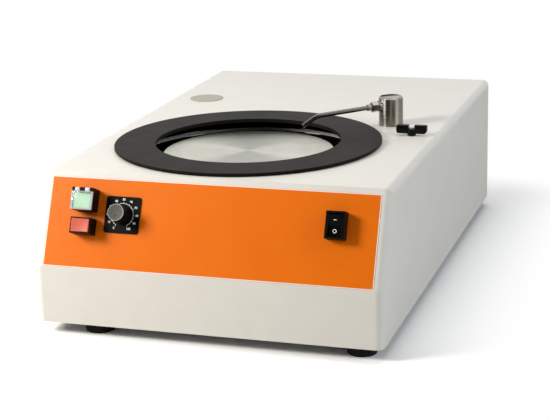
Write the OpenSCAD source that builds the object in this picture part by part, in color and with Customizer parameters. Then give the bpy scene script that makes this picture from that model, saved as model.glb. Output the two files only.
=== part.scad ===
/* [Housing] */
// Width of the housing
body_w = 400; // [388:1:430]
// Depth of the housing
body_d = 628; // [610:1:660]
// Height of the housing, from its lower edge to its top
body_h = 165; // [162:0.5:180]
// Height of the upright part of the front
front_h = 65.5; // [60:0.5:72]
// How far the sloping part of the front leans back
front_lean = 45.5; // [40:0.5:47]
// Wall of the moulded housing
wall = 3; // [2.5:0.1:3.5]
// Radius of the housing's corners and long edges
corner_r = 9; // [7:0.5:11]
// Thickness of the base plate
base_t = 3; // [2:0.5:4]
// Thickness of the rear panel
panel_t = 2; // [1.5:0.5:3]
// Bare edge left and right of the rear panel
panel_side = 10; // [9:0.5:12]
// Bare edge below the rear panel
panel_low = 8; // [7:0.5:10]
// Bare edge above the rear panel
panel_high = 11; // [10:0.5:14]

/* [Feet] */
// Height of the rubber feet
foot_h = 14; // [12:0.5:18]
// Radius of the rubber feet
foot_r = 18.5; // [15:0.5:19]
// Left feet, in from the housing's left side
foot_left_in = 64; // [50:1:80]
// Right feet, in from the housing's right side
foot_right_in = 30; // [29:1:50]
// Feet, distance from the front and from the rear
foot_in = 28; // [24:1:30]

/* [Wheel well] */
// Share of the bare top that lies left of the splash ring
well_left_share = 0.3265; // [0.3:0.0005:0.36]
// Splash ring, from the front of the housing
well_front = 51.4; // [49:0.1:54]
// Inner radius of the bowl's wall
bowl_r = 141; // [140:0.5:142]
// Wall of the bowl
bowl_t = 3; // [2:0.5:3.5]
// Depth of the bowl's shoulder below the housing's top
shoulder_drop = 15.4; // [14.5:0.1:16]
// Width of the bowl's shoulder
shoulder_w = 4.5; // [3:0.5:6]
// Depth of the bowl's floor below the housing's top
floor_drop = 42; // [40:0.5:44]
// Outer radius of the splash ring
ring_r = 158.5; // [156:0.5:162]
// Inner radius of the splash ring
ring_in_r = 110; // [106:0.5:114]
// Thickness of the splash ring
ring_t = 4.3; // [3:0.1:5]
// Radius of the platen
platen_r = 101.5; // [100:0.5:104]
// Thickness of the platen
platen_t = 12; // [10:0.5:13]
// Depth of the platen's face below the housing's top
platen_drop = 9; // [8:0.5:11]

/* [Drive] */
// Radius of the drive plate under the platen
drive_plate_r = 80; // [72:1:90]
// Thickness of the drive plate
drive_plate_t = 8; // [6:0.5:9]
// Radius of the spindle at its bearings
spindle_r = 10; // [9.5:0.5:10.5]
// Outer radius of the spindle bearings
bearing_r = 23.5; // [23:0.5:25]
// Width of the spindle bearings
bearing_w = 14; // [12:0.5:15]
// Distance of the motor behind the spindle
drive_span = 210; // [200:1:220]
// Radius of the driven pulley, under the belt
big_pulley_r = 50; // [40:1:54]
// Radius of the motor pulley, under the belt
small_pulley_r = 20; // [18:1:24]
// Radius of the motor can
motor_r = 52; // [46:1:54]
// Height of the motor
motor_h = 100; // [85:1:108]
// Top of the chassis bridge, above the base plate
bridge_h = 39; // [37:0.5:42]
// Thickness of the bridge's sheet
bridge_t = 5; // [4:0.5:6]

/* [Controls] */
// Edge left bare around the front overlay
decal_margin = 10.2; // [9:0.1:14]
// Length of the overlay up the slope
decal_l = 103; // [98:0.5:105]
// Bare edge below the overlay
decal_low = 1; // [1:0.1:3]
// Thickness of the overlay
decal_t = 0.4; // [0.3:0.1:0.6]
// Stop button, in from the left side
stop_in = 57.3; // [52:0.1:62]
// Stop button, up the slope
stop_v = 46.9; // [44:0.1:50]
// Start button, in from the left side
start_in = 56.9; // [52:0.1:62]
// Start button, up the slope
start_v = 74.2; // [73:0.1:77]
// Speed dial, in from the left side
dial_in = 99.5; // [94:0.1:108]
// Speed dial, up the slope
dial_v = 63; // [55:0.1:68]
// Side of the square dial plate
dial_w = 41; // [36:0.5:43]
// Radius of the speed knob
knob_r = 9.5; // [9:0.1:11]
// Height of the speed knob
knob_h = 19; // [15:0.5:20]
// Power switch, in from the right side
switch_in = 55.2; // [48:0.1:65]
// Power switch, up the slope
switch_v = 66; // [60:0.1:72]

/* [Water] */
// Water post, left of the valve
post_left = 37.85; // [36:0.05:40]
// Water post, behind the valve
post_back = 52.5; // [50:0.5:57]
// Radius of the water post
post_r = 15; // [14:0.5:17]
// Height of the water post
post_h = 35.5; // [33:0.5:40]
// Direction of the nozzle, from the right
nozzle_turn = 218; // [214:1:222]
// Height of the nozzle's axis at the post
nozzle_rise = 25.3; // [24:0.1:27]
// Level length of the nozzle, from the post's axis to its bend
nozzle_reach = 93; // [88:0.5:96]
// Length of the nozzle past its bend
nozzle_tip_l = 16.5; // [14:0.5:18]
// Outer radius of the nozzle tube
nozzle_r = 2.8; // [2.4:0.1:3]
// Water valve, in from the right side
valve_in = 33.4; // [30:0.1:35]
// Water valve, behind the well's centre
valve_back = 75.1; // [70:0.1:80]
// Span of the valve's handle
handle_span = 37.5; // [34:0.5:40]
// Hole plug, in from the left side
plug_in = 49.5; // [40:0.5:60]
// Hole plug, in from the rear
plug_rear = 188; // [168:1:198]
// Radius of the hole plug
plug_r = 22; // [21:0.5:25]

/* [Services] */
// Drain, turned back from the right side of the well
drain_turn = 35; // [33:0.5:37]
// Outer radius of the drain spigots
drain_r = 16; // [14.5:0.5:16.5]
// Reach of the drain spigot behind the rear panel
drain_reach = 38; // [30:1:50]
// Reach of the water inlet behind the rear panel
inlet_reach = 32; // [28:1:38]
// Mains inlet, in from the left side
mains_in = 80; // [65:1:85]

/* [Hidden] */
$fn = 96;
over = 1;
ball_count = 8;

// Fits
running_gap = 0.06;
seat_gap = 0.02;
thread_gap = 0.05;
part_gap = 0.3;
edge_gap = 0.5;

// The roundings start just above the flat faces, so that each edge is a clean cut
top_lift = 0.08;
slope_lift = 0.05;
corner_lift = 0.03;

// Bends of hoses, tubes and wires swell a little and lap over the straights
bend_swell = 0.03;
bend_lap = 0.3;

// Heights above the floor
base_top = foot_h + base_t;
front_top = foot_h + front_h;
top_z = foot_h + body_h;
under_top = top_z - wall;
bridge_top = base_top + bridge_h;
platen_z = top_z - platen_drop - platen_t;
drive_z = platen_z - drive_plate_t;
bowl_floor = top_z - floor_drop;
bowl_under = bowl_floor - bowl_t;

// Slope of the front
lean = atan(front_lean / (body_h - front_h));
rear_y = body_d + panel_t;
overall_d = body_d + panel_t + drain_reach;

// Places on the top, the front and the rear
half_w = body_w / 2;
well_x = well_left_share * (body_w - 2 * ring_r) + ring_r - half_w;
well_y = well_front + ring_r;
stop_x = stop_in - half_w;
start_x = start_in - half_w;
dial_x = dial_in - half_w;
switch_x = half_w - switch_in;
valve_room = 12;
valve_x = half_w - valve_in;
valve_clear = pow(ring_r + valve_room, 2) - pow(valve_x - well_x, 2);
valve_y = well_y + max(valve_back, sqrt(max(valve_clear, 0)));
post_x = valve_x - post_left;
post_y = valve_y + post_back;
plug_x = plug_in - half_w;
plug_y = body_d - plug_rear;
mains_x = mains_in - half_w;
panel_w = body_w - 2 * panel_side;
panel_h = body_h - panel_low - panel_high;
panel_mid = foot_h + panel_low + panel_h / 2;

// Screws, bolts and nuts
m4_r = 2;
m4_head_r = 4;
m4_head_h = 2.6;
m4_l = 8;
m6_r = 3;
m6_head_r = 5;
m6_head_h = 6;
m6_l = 12;
m6_key_r = 2.9;
m6_key_depth = 3;
slot_w = 1;
slot_depth = 1.2;
m10_r = 5;
m10_nut_r = 8;
m10_nut_h = 2.5;
m16_r = 8;
m16_nut_r = 12.7;
m16_nut_h = 4;
hole_gap = 0.2;

// Housing details
boss_r = 6;
boss_h = 20;
boss_in = 14;
boss_rib = 5;
boss_foot_gap = 34;
boss_ys = [foot_in + boss_foot_gap, body_d / 2, body_d - foot_in - boss_foot_gap];
rim_pad_t = 5;
rim_pad_r = ring_r;
window_margin = 10;
panel_screw_in = 5;
louvre_w = 3;
louvre_l = 60;
louvre_step = 9;
louvre_count = 9;
louvre_x = 20;

// Feet details
foot_taper = 2.5;
foot_floor = 3.5;
foot_recess_r = 6;
foot_round = 1.5;

// Well details
well_gap = 0.5;
flange_t = 3;
gasket_t = 1;
gasket_gap = 1;
bowl_screw_r = 152;
bowl_screw_count = 6;
bowl_screw_turn = 30;
fillet_r = 2;
floor_fillet_r = 5;
collar_r = 34;
collar_h = 10;
ring_lip_h = 5;
ring_lip_t = 3.4;
ring_lip_gap = 0.6;
ring_step_h = 1.5;
ring_step_w = 1.6;
ring_edge = 0.5;
drain_wall = 3;
drain_bore = drain_r - drain_wall;
drain_stub = 22;

// Platen and drive plate details
platen_edge = 0.8;
spigot_r = 12.5;
spigot_h = 5;
spigot_room = 2;
pin_r = 3;
pin_h = 5;
pin_circle = 60;
pin_count = 3;
hub_r = 20;
hub_bore_r = 8;
slinger_r = 42;
slinger_t = 3;
slinger_h = 7;

// Spindle and its bearings
seat_h = 2;
lower_bearing_z = bridge_top;
tube_h = 62;
spindle_flange_r = 52;
spindle_flange_t = 8;
spindle_bolt_r = 42;
spindle_bolt_count = 4;
bolt_turn = 45;
tube_r = 30;
tube_top = bridge_top + spindle_flange_t + tube_h;
seal_w = 7;
seal_gap = 2;
seal_lip_t = 1.5;
seal_ring_t = 2.5;
seal_z = tube_top - seal_w;
upper_bearing_z = seal_z - seal_gap - bearing_w;
bearing_step = 3.5;
mid_bore_r = bearing_r - bearing_step;
ball_fill_share = 0.294;
ball_r = (bearing_r - spindle_r) * ball_fill_share;
ball_pitch_r = (bearing_r + spindle_r) / 2;
ball_gap = 0.08;
race_land_share = 0.6;
outer_land_r = ball_pitch_r + ball_r * race_land_share;
inner_land_r = ball_pitch_r - ball_r * race_land_share;
shoulder_step = 3;
shoulder_r = spindle_r + shoulder_step;
hub_z = tube_top + seal_gap;
spindle_floor_gap = 1.5;
nut_h = 5.5;
nut_r = 12;
nut_thread_r = 7;
pulley_z = base_top + spindle_floor_gap + nut_h + edge_gap;
pulley_w = 18;
pulley_rim_t = 8;
pulley_hub_r = 15;
pulley_web_t = 6;
pulley_flange_h = 1.5;
pulley_flange_w = 2.5;
spindle_hole_step = 2.5;
spindle_hole_r = bearing_r - spindle_hole_step;
hub_bolt_l = 20;
hub_bolt_head_h = 4;
hub_bolt_head_r = 6.5;
hub_bolt_r = 4;

// Belt
belt_gap = 0.3;
belt_t = 3;
belt_play = 1;
belt_w = pulley_w - 2 * pulley_flange_h - belt_play;
motor_y = well_y + drive_span;
big_belt_r = big_pulley_r + belt_gap;
small_belt_r = small_pulley_r + belt_gap;

// Bridge
bridge_w = 150;
bridge_front = 65;
bridge_rear = 65;
bridge_foot_w = 15;
bridge_bolt_share = [0.06, 0.5, 0.94];

// Motor
bell_t = 12;
can_t = 4;
motor_shaft_r = 6;
motor_shaft_short = 2;
motor_bolt_r = 38;
motor_bolt_count = 4;
armature_gap = 1;
magnet_t = 8;
armature_end_gap = 8;
commutator_r = 16;
commutator_h = 10;
terminal_box_w = 28;
terminal_box_h = 24;
terminal_box_d = 14;
terminal_box_rise = 2;
terminal_box_z = bridge_top + bell_t + terminal_box_rise;

// Push buttons
bezel_wall = 1.5;
bezel_floor = 7;
cap_gap = 0.2;
press_travel = 2.5;
barrel_l = 30;
contact_w = 18;
contact_h = 12;
plunger_r = 2.5;
plunger_l = 18;
stop_w = 24;
stop_d = 18;
stop_h = 16.6;
start_w = 24.4;
start_d = 20.2;
start_h = 17;
cap_proud = 0.6;
guard_h = 4;
guard_t = 1.2;
guard_gap = 0.3;
knuckle_r = 2;
hinge_pin_r = 0.8;
hinge_out = 2.4;
hinge_d = 4.4;
hinge_cover = 0.2;
lug_w = 5.4;
lug_x = 6;
mid_lug_w = 6;

// Speed control
dial_plate_t = 1.2;
dial_corner_r = 3;
pot_r = 12;
pot_h = 10;
pot_bush_play = 0.1;
pot_bush_r = m10_r - pot_bush_play;
pot_bush_out = 4;
pot_shaft_r = 3;
knob_lift = 1;
knob_room_r = 8.6;
knob_room_h = 5;
knob_skirt_h = 2.5;
knob_skirt_w = 1.3;
flute_r = 0.6;
flute_count = 18;
flute_h_share = 0.68;
knob_cap_in = 0.2;
knob_cap_t = 1.6;

// Power switch
switch_w = 21.2;
switch_l = 29.6;
switch_h = 12.5;
switch_body_gap = 1;
switch_body_l = 24;
paddle_w = 14;
paddle_half = 12.2;
paddle_gap = 0.3;
paddle_angle = 8;
pivot_depth = 5;
paddle_under = 4;
paddle_pin_r = 1.2;
paddle_pin_l = 1.4;
spade_w = 4.8;
spade_t = 0.8;
spade_l = 8;
spade_gap = 7;

// Valve
neck_bore_r = 2.5;
valve_flange_r = 6.3;
valve_flange_t = 0.5;
valve_r = 11;
valve_neck_l = 20;
valve_h = 40;
port_r = 3;
stub_r = 4;
stub_l = 12;
plug_body_r = 6;
plug_body_h = 14;
hose_wall = 2;
boss_face = 13;
handle_hub_r = 5.3;
handle_hub_h = 8;
wing_w = 7;
wing_h = 10.5;
wing_lift = 2;
wing_inner = 4;
wing_round = 3;
screw_r = 1.5;
screw_head_r = 2.6;
screw_head_h = 1.6;
screw_l = 8;
valve_mid = under_top - valve_neck_l - valve_h / 2;

// Post
collar_out_r = 11;
collar_t = 3;
stem_r = 6;
stem_h = 27;
stem_bore_r = 2.5;
post_room = 1;
post_chamfer = 1.8;
post_block_r = 9;
seal_ring_r = 0.9;
seal_groove_w = 2.4;
seal_rise = 4;
post_face = 11;

// Nozzle
droop_angle = 2.7;
nozzle_bend_angle = 27;
nozzle_bend_r = 20;
nozzle_bore_r = 1.8;
washer_r = 6.8;
washer_t = 1.8;
dark_hex_r = 6.2;
dark_hex_l = 4;
hex_r = 6.6;
hex_l = 5;
ferrule_r = 3.9;
ferrule_l = 6;
fitting_sink = 2.4;
fitting_start = post_r - fitting_sink;

// Hole plug
plug_flange_t = 0.8;
plug_lip = 2.6;
plug_skirt_r = plug_r - plug_lip;
plug_skirt_t = 1.8;
plug_skirt_h = 9;

// Drain and water hoses
trough_mid_r = (platen_r + bowl_r - shoulder_w) / 2;
drain_x = well_x + trough_mid_r * cos(drain_turn);
drain_y = well_y + trough_mid_r * sin(drain_turn);
drain_drop = 24;
drain_bend_r = 32;
drain_slope_angle = 4;
drain_nut_t = 5;
drain_nut_r = 24;
drain_tail = 28;
drain_inner_l = 22;
drain_run = (body_d - drain_nut_t - drain_y - drain_bend_r - drain_tail) / cos(drain_slope_angle);
drain_z = bowl_under - drain_drop - drain_bend_r - drain_run * sin(drain_slope_angle);
hose_drop = 22;
hose_bend_r = 30;
hose_end = body_d - m16_nut_h;
valve_bottom = valve_mid - valve_h / 2;
water_z = valve_bottom - hose_drop - hose_bend_r;
barb_r = 5;
barb_step = 1;
barb_pitch = 6;
barb_count = 3;

// Mains inlet
inlet_w = 50;
inlet_h = 44;
inlet_t = 3;
inlet_body_w = 30;
inlet_body_h = 40;
inlet_body_d = 26;
inlet_z = panel_mid;
socket_w = 24;
socket_h = 16.4;
socket_d = 16;
socket_up = 7;
blade_w = 2;
blade_h = 4;
blade_l = 15;
blade_x = 7;
blade_drop = 2;
earth_rise = 2;
inlet_screw_x = 20;
drawer_w = 24;
drawer_h = 9;
drawer_d = 20;
drawer_down = 12;
drawer_gap = 0.2;
drawer_face_t = 1.2;
fuse_r = 2.5;
fuse_l = 16;
fuse_wall = 0.5;

// Control board
board_w = 165;
board_d = 80;
board_t = 1.6;
board_left = 150.6;
board_side = 35;
board_rear = 122;
board_x = max(well_x - board_left, board_side - half_w);
board_y = body_d - board_rear;
standoff_h = 8;
standoff_r = 3.2;
standoff_in = 6;
strip_d = 12;
strip_h = 24;
sink_w = 60;
sink_d = 24;
sink_h = 34;
sink_base = 5;
fin_t = 2;
fin_step = 6;
capacitor_r = 9;
capacitor_h = 28;
capacitor_step = 22;
relay_w = 18;
relay_h = 16;
board_top = base_top + standoff_h + board_t;

// Wiring
wire_r = 3;
wire_bend_r = 20;
tight_bend_r = 12;
low_wire_rise = 6;
high_wire_rise = 18;
low_wire_z = board_top + low_wire_rise;
high_wire_z = board_top + high_wire_rise;
stop_back = decal_t - barrel_l - contact_h;
switch_back = -switch_body_l;
pot_back = -wall - pot_h;

// Puts the middle of the whole machine over the origin
module place() {
    translate([0, -overall_d / 2, 0]) children();
}

// Centre of the wheel well
module at_well() {
    translate([well_x, well_y, 0]) children();
}

// A place on the sloping front: right, up the slope, outwards
module on_slope(x, v, out = 0) {
    translate([0, 0, front_top]) rotate([90 - lean, 0, 0]) translate([x, v, out]) children();
}

module around(count, first = 0) {
    for (i = [0 : count - 1]) rotate([0, 0, first + i * 360 / count]) children();
}

module tube(outer, inner, h) {
    difference() {
        cylinder(r = outer, h = h);
        translate([0, 0, -over]) cylinder(r = inner, h = h + 2 * over);
    }
}

module ring_of(outer, inner, z, h) {
    translate([0, 0, z]) tube(outer, inner, h);
}

module rounded(w, d, r) {
    square([w - 2 * r, d], center = true);
    square([w, d - 2 * r], center = true);
    for (x = [-1, 1], y = [-1, 1]) translate([x * (w / 2 - r), y * (d / 2 - r)]) circle(r = r);
}

// Rectangle hanging below y = 0 with its two upper corners rounded
module capped(w, h, r) {
    translate([-w / 2 + r, -h]) square([w - 2 * r, h]);
    translate([-w / 2, -h]) square([w, h - r]);
    for (x = [-1, 1]) translate([x * (w / 2 - r), -r]) circle(r = r);
}

module block(w, d, h) {
    translate([-w / 2, -d / 2, 0]) cube([w, d, h]);
}

module rounded_block(w, d, h, r) {
    linear_extrude(h) rounded(w, d, r);
}

// The piece of a corner that a fillet fills
module fillet(r) {
    difference() {
        square(r);
        translate([r, r]) circle(r = r);
    }
}

module hex_nut(r, h, bore) {
    difference() {
        cylinder(r = r, h = h, $fn = 6);
        translate([0, 0, -over]) cylinder(r = bore, h = h + 2 * over);
    }
}

// Screw with its head below z = 0 and its shank above
module m4_screw() {
    difference() {
        union() {
            translate([0, 0, -m4_head_h]) cylinder(r = m4_head_r, h = m4_head_h);
            cylinder(r = m4_r, h = m4_l);
        }
        for (a = [0, 90]) rotate([0, 0, a]) translate([0, 0, -m4_head_h - over])
            block(m4_head_r, slot_w, slot_depth + over);
    }
}

module m6_bolt(l) {
    difference() {
        union() {
            translate([0, 0, -m6_head_h]) cylinder(r = m6_head_r, h = m6_head_h);
            cylinder(r = m6_r, h = l);
        }
        translate([0, 0, -m6_head_h - over]) cylinder(r = m6_key_r, h = m6_key_depth + over, $fn = 6);
    }
}

// A wire along local Z; each step is [straight, bend radius, bend angle, roll before it]
module trail(steps, r, ends = 0, i = 0) {
    if (i < len(steps)) {
        s = steps[i];
        low = i == 0 ? ends : bend_lap;
        high = i == len(steps) - 1 ? ends : bend_lap;
        rotate([0, 0, s[3]]) {
            translate([0, 0, -low]) cylinder(r = r, h = s[0] + low + high);
            translate([0, 0, s[0]]) {
                if (s[2] > 0) trail_bend(s[1], s[2], r + bend_swell);
                translate([s[1], 0, 0]) rotate([0, s[2], 0]) translate([-s[1], 0, 0])
                    trail(steps, r, ends, i + 1);
            }
        }
    }
}

module trail_bend(bend_r, angle, r) {
    translate([bend_r, 0, 0]) mirror([1, 0, 0]) rotate([90, 0, 0])
        rotate_extrude(angle = angle) translate([bend_r, 0]) circle(r = r);
}

// A pipe or hose that follows the same steps
module pipe(steps, outer, inner) {
    difference() {
        trail(steps, outer);
        trail(steps, inner, over);
    }
}

// The housing's outer form, or its cavity when inset by the wall
module housing_form(inset, low) {
    w = body_w - 2 * inset;
    r = corner_r - inset;
    low_y = inset;
    low_z = front_top - inset * tan(lean / 2);
    high_z = top_z - inset;
    high_y = (high_z - front_top) * tan(lean) + inset / cos(lean);
    back_y = body_d - inset;
    intersection() {
        translate([-w / 2, 0, 0]) rotate([90, 0, 90]) linear_extrude(w)
            polygon([[low_y, low], [low_y, low_z], [high_y, high_z], [back_y, high_z], [back_y, low]]);
        translate([0, body_d + over, high_z + top_lift]) rotate([90, 0, 0]) linear_extrude(body_d + 2 * over)
            capped(w, body_h + 2 * over, r);
        translate([0, body_d / 2, low - over]) linear_extrude(body_h + 2 * over + foot_h)
            rounded(w, body_d - 2 * inset + 2 * corner_lift, r);
        on_slope(0, 0, slope_lift - inset) rotate([90, 0, 0]) translate([0, 0, -body_d - body_h])
            linear_extrude(2 * (body_d + body_h)) capped(w, 2 * body_d, r);
    }
}

module at_base_bosses() {
    for (x = [-1, 1], y = boss_ys) translate([x * (body_w / 2 - boss_in), y, 0]) children();
}

module at_panel_screws() {
    x = panel_w / 2 - panel_screw_in;
    z = panel_h / 2 - panel_screw_in;
    for (p = [[-1, -1], [-1, 0], [-1, 1], [1, -1], [1, 0], [1, 1], [0, -1], [0, 1]])
        translate([p[0] * x, rear_y, panel_mid + p[1] * z]) children();
}

module at_feet() {
    for (x = [foot_left_in - half_w, half_w - foot_right_in], y = [foot_in, body_d - foot_in])
        translate([x, y, 0]) children();
}

module base_bosses() {
    at_base_bosses() translate([0, 0, base_top]) cylinder(r = boss_r, h = boss_h);
    for (x = [-1, 1], y = boss_ys)
        translate([x * (body_w / 2 - (boss_in + wall) / 2), y, base_top])
            block(boss_in - wall + over, boss_rib, boss_h);
}

// Body of a panel control cut through the sloping wall and the overlay
module control_cuts(room) {
    on_slope(stop_x, stop_v, -wall - over) cylinder(r = m16_r + room, h = wall + 2 * over);
    on_slope(start_x, start_v, -wall - over) cylinder(r = m16_r + room, h = wall + 2 * over);
    on_slope(dial_x, dial_v, -wall - over) cylinder(r = m10_r + room, h = wall + 2 * over);
    on_slope(switch_x, switch_v, -wall - over)
        block(switch_w - 2 * switch_body_gap + 2 * room, switch_l - 2 * switch_body_gap + 2 * room,
            wall + 2 * over);
}

module housing_shell() place() color("#e4e2dc") difference() {
    union() {
        difference() {
            housing_form(0, foot_h);
            housing_form(wall, foot_h - over);
            at_well() translate([0, 0, under_top - over])
                cylinder(r = bowl_r + bowl_t + well_gap, h = wall + 2 * over);
        }
        base_bosses();
        at_well() ring_of(rim_pad_r, bowl_r + bowl_t + well_gap, under_top - rim_pad_t, rim_pad_t);
    }
    translate([0, body_d - wall / 2, panel_mid - (panel_h - 2 * window_margin) / 2])
        block(panel_w - 2 * window_margin, wall + 2 * over, panel_h - 2 * window_margin);
    control_cuts(hole_gap);
    at_base_bosses() translate([0, 0, base_top - over]) cylinder(r = m4_r + thread_gap, h = m4_l);
    at_panel_screws() rotate([90, 0, 0]) cylinder(r = m4_r + thread_gap, h = wall + panel_t + over);
    at_well() around(bowl_screw_count, bowl_screw_turn)
        translate([bowl_screw_r, 0, under_top - rim_pad_t - over])
        cylinder(r = m4_r + thread_gap, h = rim_pad_t + over);
    translate([post_x, post_y, under_top - over]) cylinder(r = m16_r + hole_gap, h = wall + 2 * over);
    translate([valve_x, valve_y, under_top - over]) cylinder(r = m10_r + hole_gap, h = wall + 2 * over);
    translate([plug_x, plug_y, under_top - over])
        cylinder(r = plug_skirt_r + edge_gap / 2, h = wall + 2 * over);
}

module rear_panel() place() color("#dedcd6") difference() {
    translate([0, body_d, panel_mid]) rotate([-90, 0, 0])
        rounded_block(panel_w, panel_h, panel_t, corner_r / 3);
    at_panel_screws() rotate([90, 0, 0]) translate([0, 0, -over])
        cylinder(r = m4_r + hole_gap, h = panel_t + 2 * over);
    for (i = [0 : louvre_count - 1])
        translate([louvre_x - i * louvre_step, body_d + panel_t / 2, panel_mid - louvre_l / 2])
            block(louvre_w, panel_t + 2 * over, louvre_l);
    translate([valve_x, body_d - over, water_z]) rotate([-90, 0, 0])
        cylinder(r = m16_r + hole_gap, h = panel_t + 2 * over);
    translate([drain_x, body_d - over, drain_z]) rotate([-90, 0, 0])
        cylinder(r = drain_r + hole_gap, h = panel_t + 2 * over);
    translate([mains_x, body_d + panel_t / 2, inlet_z - inlet_body_h / 2 - hole_gap])
        block(inlet_body_w + 2 * hole_gap, panel_t + 2 * over, inlet_body_h + 2 * hole_gap);
    for (x = [-1, 1]) translate([mains_x + x * inlet_screw_x, body_d - over, inlet_z]) rotate([-90, 0, 0])
        cylinder(r = m4_r + thread_gap, h = panel_t + 2 * over);
}

module base_plate() place() color("#9a9c9e") difference() {
    translate([0, body_d / 2, foot_h])
        rounded_block(body_w - 2 * (wall + edge_gap), body_d - 2 * (wall + edge_gap), base_t, corner_r - wall);
    at_base_bosses() translate([0, 0, foot_h - over]) cylinder(r = m4_r + hole_gap, h = base_t + 2 * over);
    at_feet() translate([0, 0, foot_h - over]) cylinder(r = m4_r + thread_gap, h = base_t + 2 * over);
    at_bridge_bolts() translate([0, 0, foot_h - over]) cylinder(r = m6_r + thread_gap, h = base_t + 2 * over);
}

module rubber_foot(x, y) place() color("#1b1b1b") translate([x, y, 0]) difference() {
    rotate_extrude() difference() {
        polygon([[0, 0], [foot_r - foot_taper, 0], [foot_r, foot_h], [0, foot_h]]);
        square([foot_recess_r, foot_h - foot_floor]);
        square([m4_r + hole_gap, foot_h + over]);
    }
}

module m4_screws() place() color("#b9bbbd") {
    at_feet() translate([0, 0, foot_h - foot_floor]) m4_screw();
    at_base_bosses() translate([0, 0, foot_h]) m4_screw();
    at_panel_screws() rotate([90, 0, 0]) m4_screw();
    at_well() around(bowl_screw_count, bowl_screw_turn)
        translate([bowl_screw_r, 0, under_top - rim_pad_t - gasket_t - flange_t]) m4_screw();
    for (x = [-1, 1]) translate([mains_x + x * inlet_screw_x, rear_y + inlet_t, inlet_z])
        rotate([90, 0, 0]) m4_screw();
}

module at_bridge_bolts() {
    for (x = [-1, 1], s = bridge_bolt_share)
        translate([well_x + x * (bridge_w + bridge_foot_w) / 2,
            well_y - bridge_front + s * (bridge_front + drive_span + bridge_rear), 0]) children();
}

module at_motor_bolts() {
    translate([well_x, motor_y, 0]) around(motor_bolt_count, bolt_turn)
        translate([motor_bolt_r, 0, 0]) children();
}

module at_spindle_bolts() {
    at_well() around(spindle_bolt_count, bolt_turn) translate([spindle_bolt_r, 0, 0]) children();
}

module m6_bolts() place() color("#8d9093") {
    at_bridge_bolts() translate([0, 0, base_top + bridge_t]) rotate([180, 0, 0]) m6_bolt(bridge_t + base_t);
    at_motor_bolts() translate([0, 0, bridge_top - bridge_t]) m6_bolt(m6_l);
    at_spindle_bolts() translate([0, 0, bridge_top + spindle_flange_t]) rotate([180, 0, 0]) m6_bolt(m6_l);
}

module m10_nuts() place() color("#c8c9ca") {
    on_slope(dial_x, dial_v, decal_t + dial_plate_t) hex_nut(m10_nut_r, m10_nut_h, m10_r + thread_gap);
    translate([valve_x, valve_y, under_top - m10_nut_h]) hex_nut(m10_nut_r, m10_nut_h, m10_r + thread_gap);
}

module m16_nuts() place() color("#a8aaac") {
    for (p = [[stop_x, stop_v], [start_x, start_v]])
        on_slope(p[0], p[1], -wall - m16_nut_h) hex_nut(m16_nut_r, m16_nut_h, m16_r + thread_gap);
    translate([post_x, post_y, under_top - m16_nut_h]) hex_nut(m16_nut_r, m16_nut_h, m16_r + thread_gap);
    translate([valve_x, body_d, water_z]) rotate([90, 0, 0])
        hex_nut(m16_nut_r, m16_nut_h, m16_r + thread_gap);
}

module chassis_bridge() place() color("#7c8084") difference() {
    l = bridge_front + drive_span + bridge_rear;
    translate([well_x, well_y - bridge_front + l / 2, 0]) {
        translate([0, 0, bridge_top - bridge_t]) block(bridge_w, l, bridge_t);
        for (x = [-1, 1]) {
            translate([x * (bridge_w - bridge_t) / 2, 0, base_top]) block(bridge_t, l, bridge_h);
            translate([x * (bridge_w + bridge_foot_w - bridge_t) / 2, 0, base_top])
                block(bridge_foot_w + bridge_t, l, bridge_t);
        }
    }
    at_bridge_bolts() translate([0, 0, base_top - over])
        cylinder(r = m6_r + hole_gap, h = bridge_t + 2 * over);
    at_motor_bolts() translate([0, 0, bridge_top - bridge_t - over])
        cylinder(r = m6_r + hole_gap, h = bridge_t + 2 * over);
    at_spindle_bolts() translate([0, 0, bridge_top - bridge_t - over])
        cylinder(r = m6_r + thread_gap, h = bridge_t + 2 * over);
    at_well() translate([0, 0, bridge_top - bridge_t - over])
        cylinder(r = spindle_hole_r, h = bridge_t + 2 * over);
    translate([well_x, motor_y, bridge_top - bridge_t - over])
        cylinder(r = 2 * motor_shaft_r, h = bridge_t + 2 * over);
}

module front_decal() place() color("#ef7f1a") difference() {
    on_slope(0, (decal_l + decal_low) / 2)
        rounded_block(body_w - 2 * decal_margin, decal_l - decal_low, decal_t, wall / 2);
    control_cuts(hole_gap);
}

module dial_plate() place() color("#161616") on_slope(dial_x, dial_v, decal_t) difference() {
    rounded_block(dial_w, dial_w, dial_plate_t, dial_corner_r);
    translate([0, 0, -over]) cylinder(r = m10_r + hole_gap, h = dial_plate_t + 2 * over);
}

// Half section of the bowl, from its centre collar to its flange
module bowl_section() {
    ledge = top_z - shoulder_drop;
    low_r = bowl_r - shoulder_w;
    flange_z = under_top - rim_pad_t - gasket_t - flange_t;
    difference() {
        union() {
            translate([bowl_r, ledge - bowl_t]) square([bowl_t, top_z - ledge + bowl_t]);
            translate([low_r, ledge - bowl_t]) square([shoulder_w + bowl_t, bowl_t]);
            translate([low_r, bowl_under]) square([bowl_t, ledge - bowl_under]);
            translate([collar_r, bowl_under]) square([low_r + bowl_t - collar_r, bowl_t]);
            translate([collar_r, bowl_under]) square([bowl_t, bowl_t + collar_h]);
            translate([bowl_r, flange_z]) square([rim_pad_r - bowl_r, flange_t]);
            translate([bowl_r, ledge]) mirror([1, 0]) fillet(fillet_r);
            translate([low_r, bowl_floor]) mirror([1, 0]) fillet(floor_fillet_r);
            translate([collar_r + bowl_t, bowl_floor]) fillet(floor_fillet_r);
        }
        translate([low_r, ledge]) mirror([0, 1]) fillet(fillet_r);
    }
}

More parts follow.
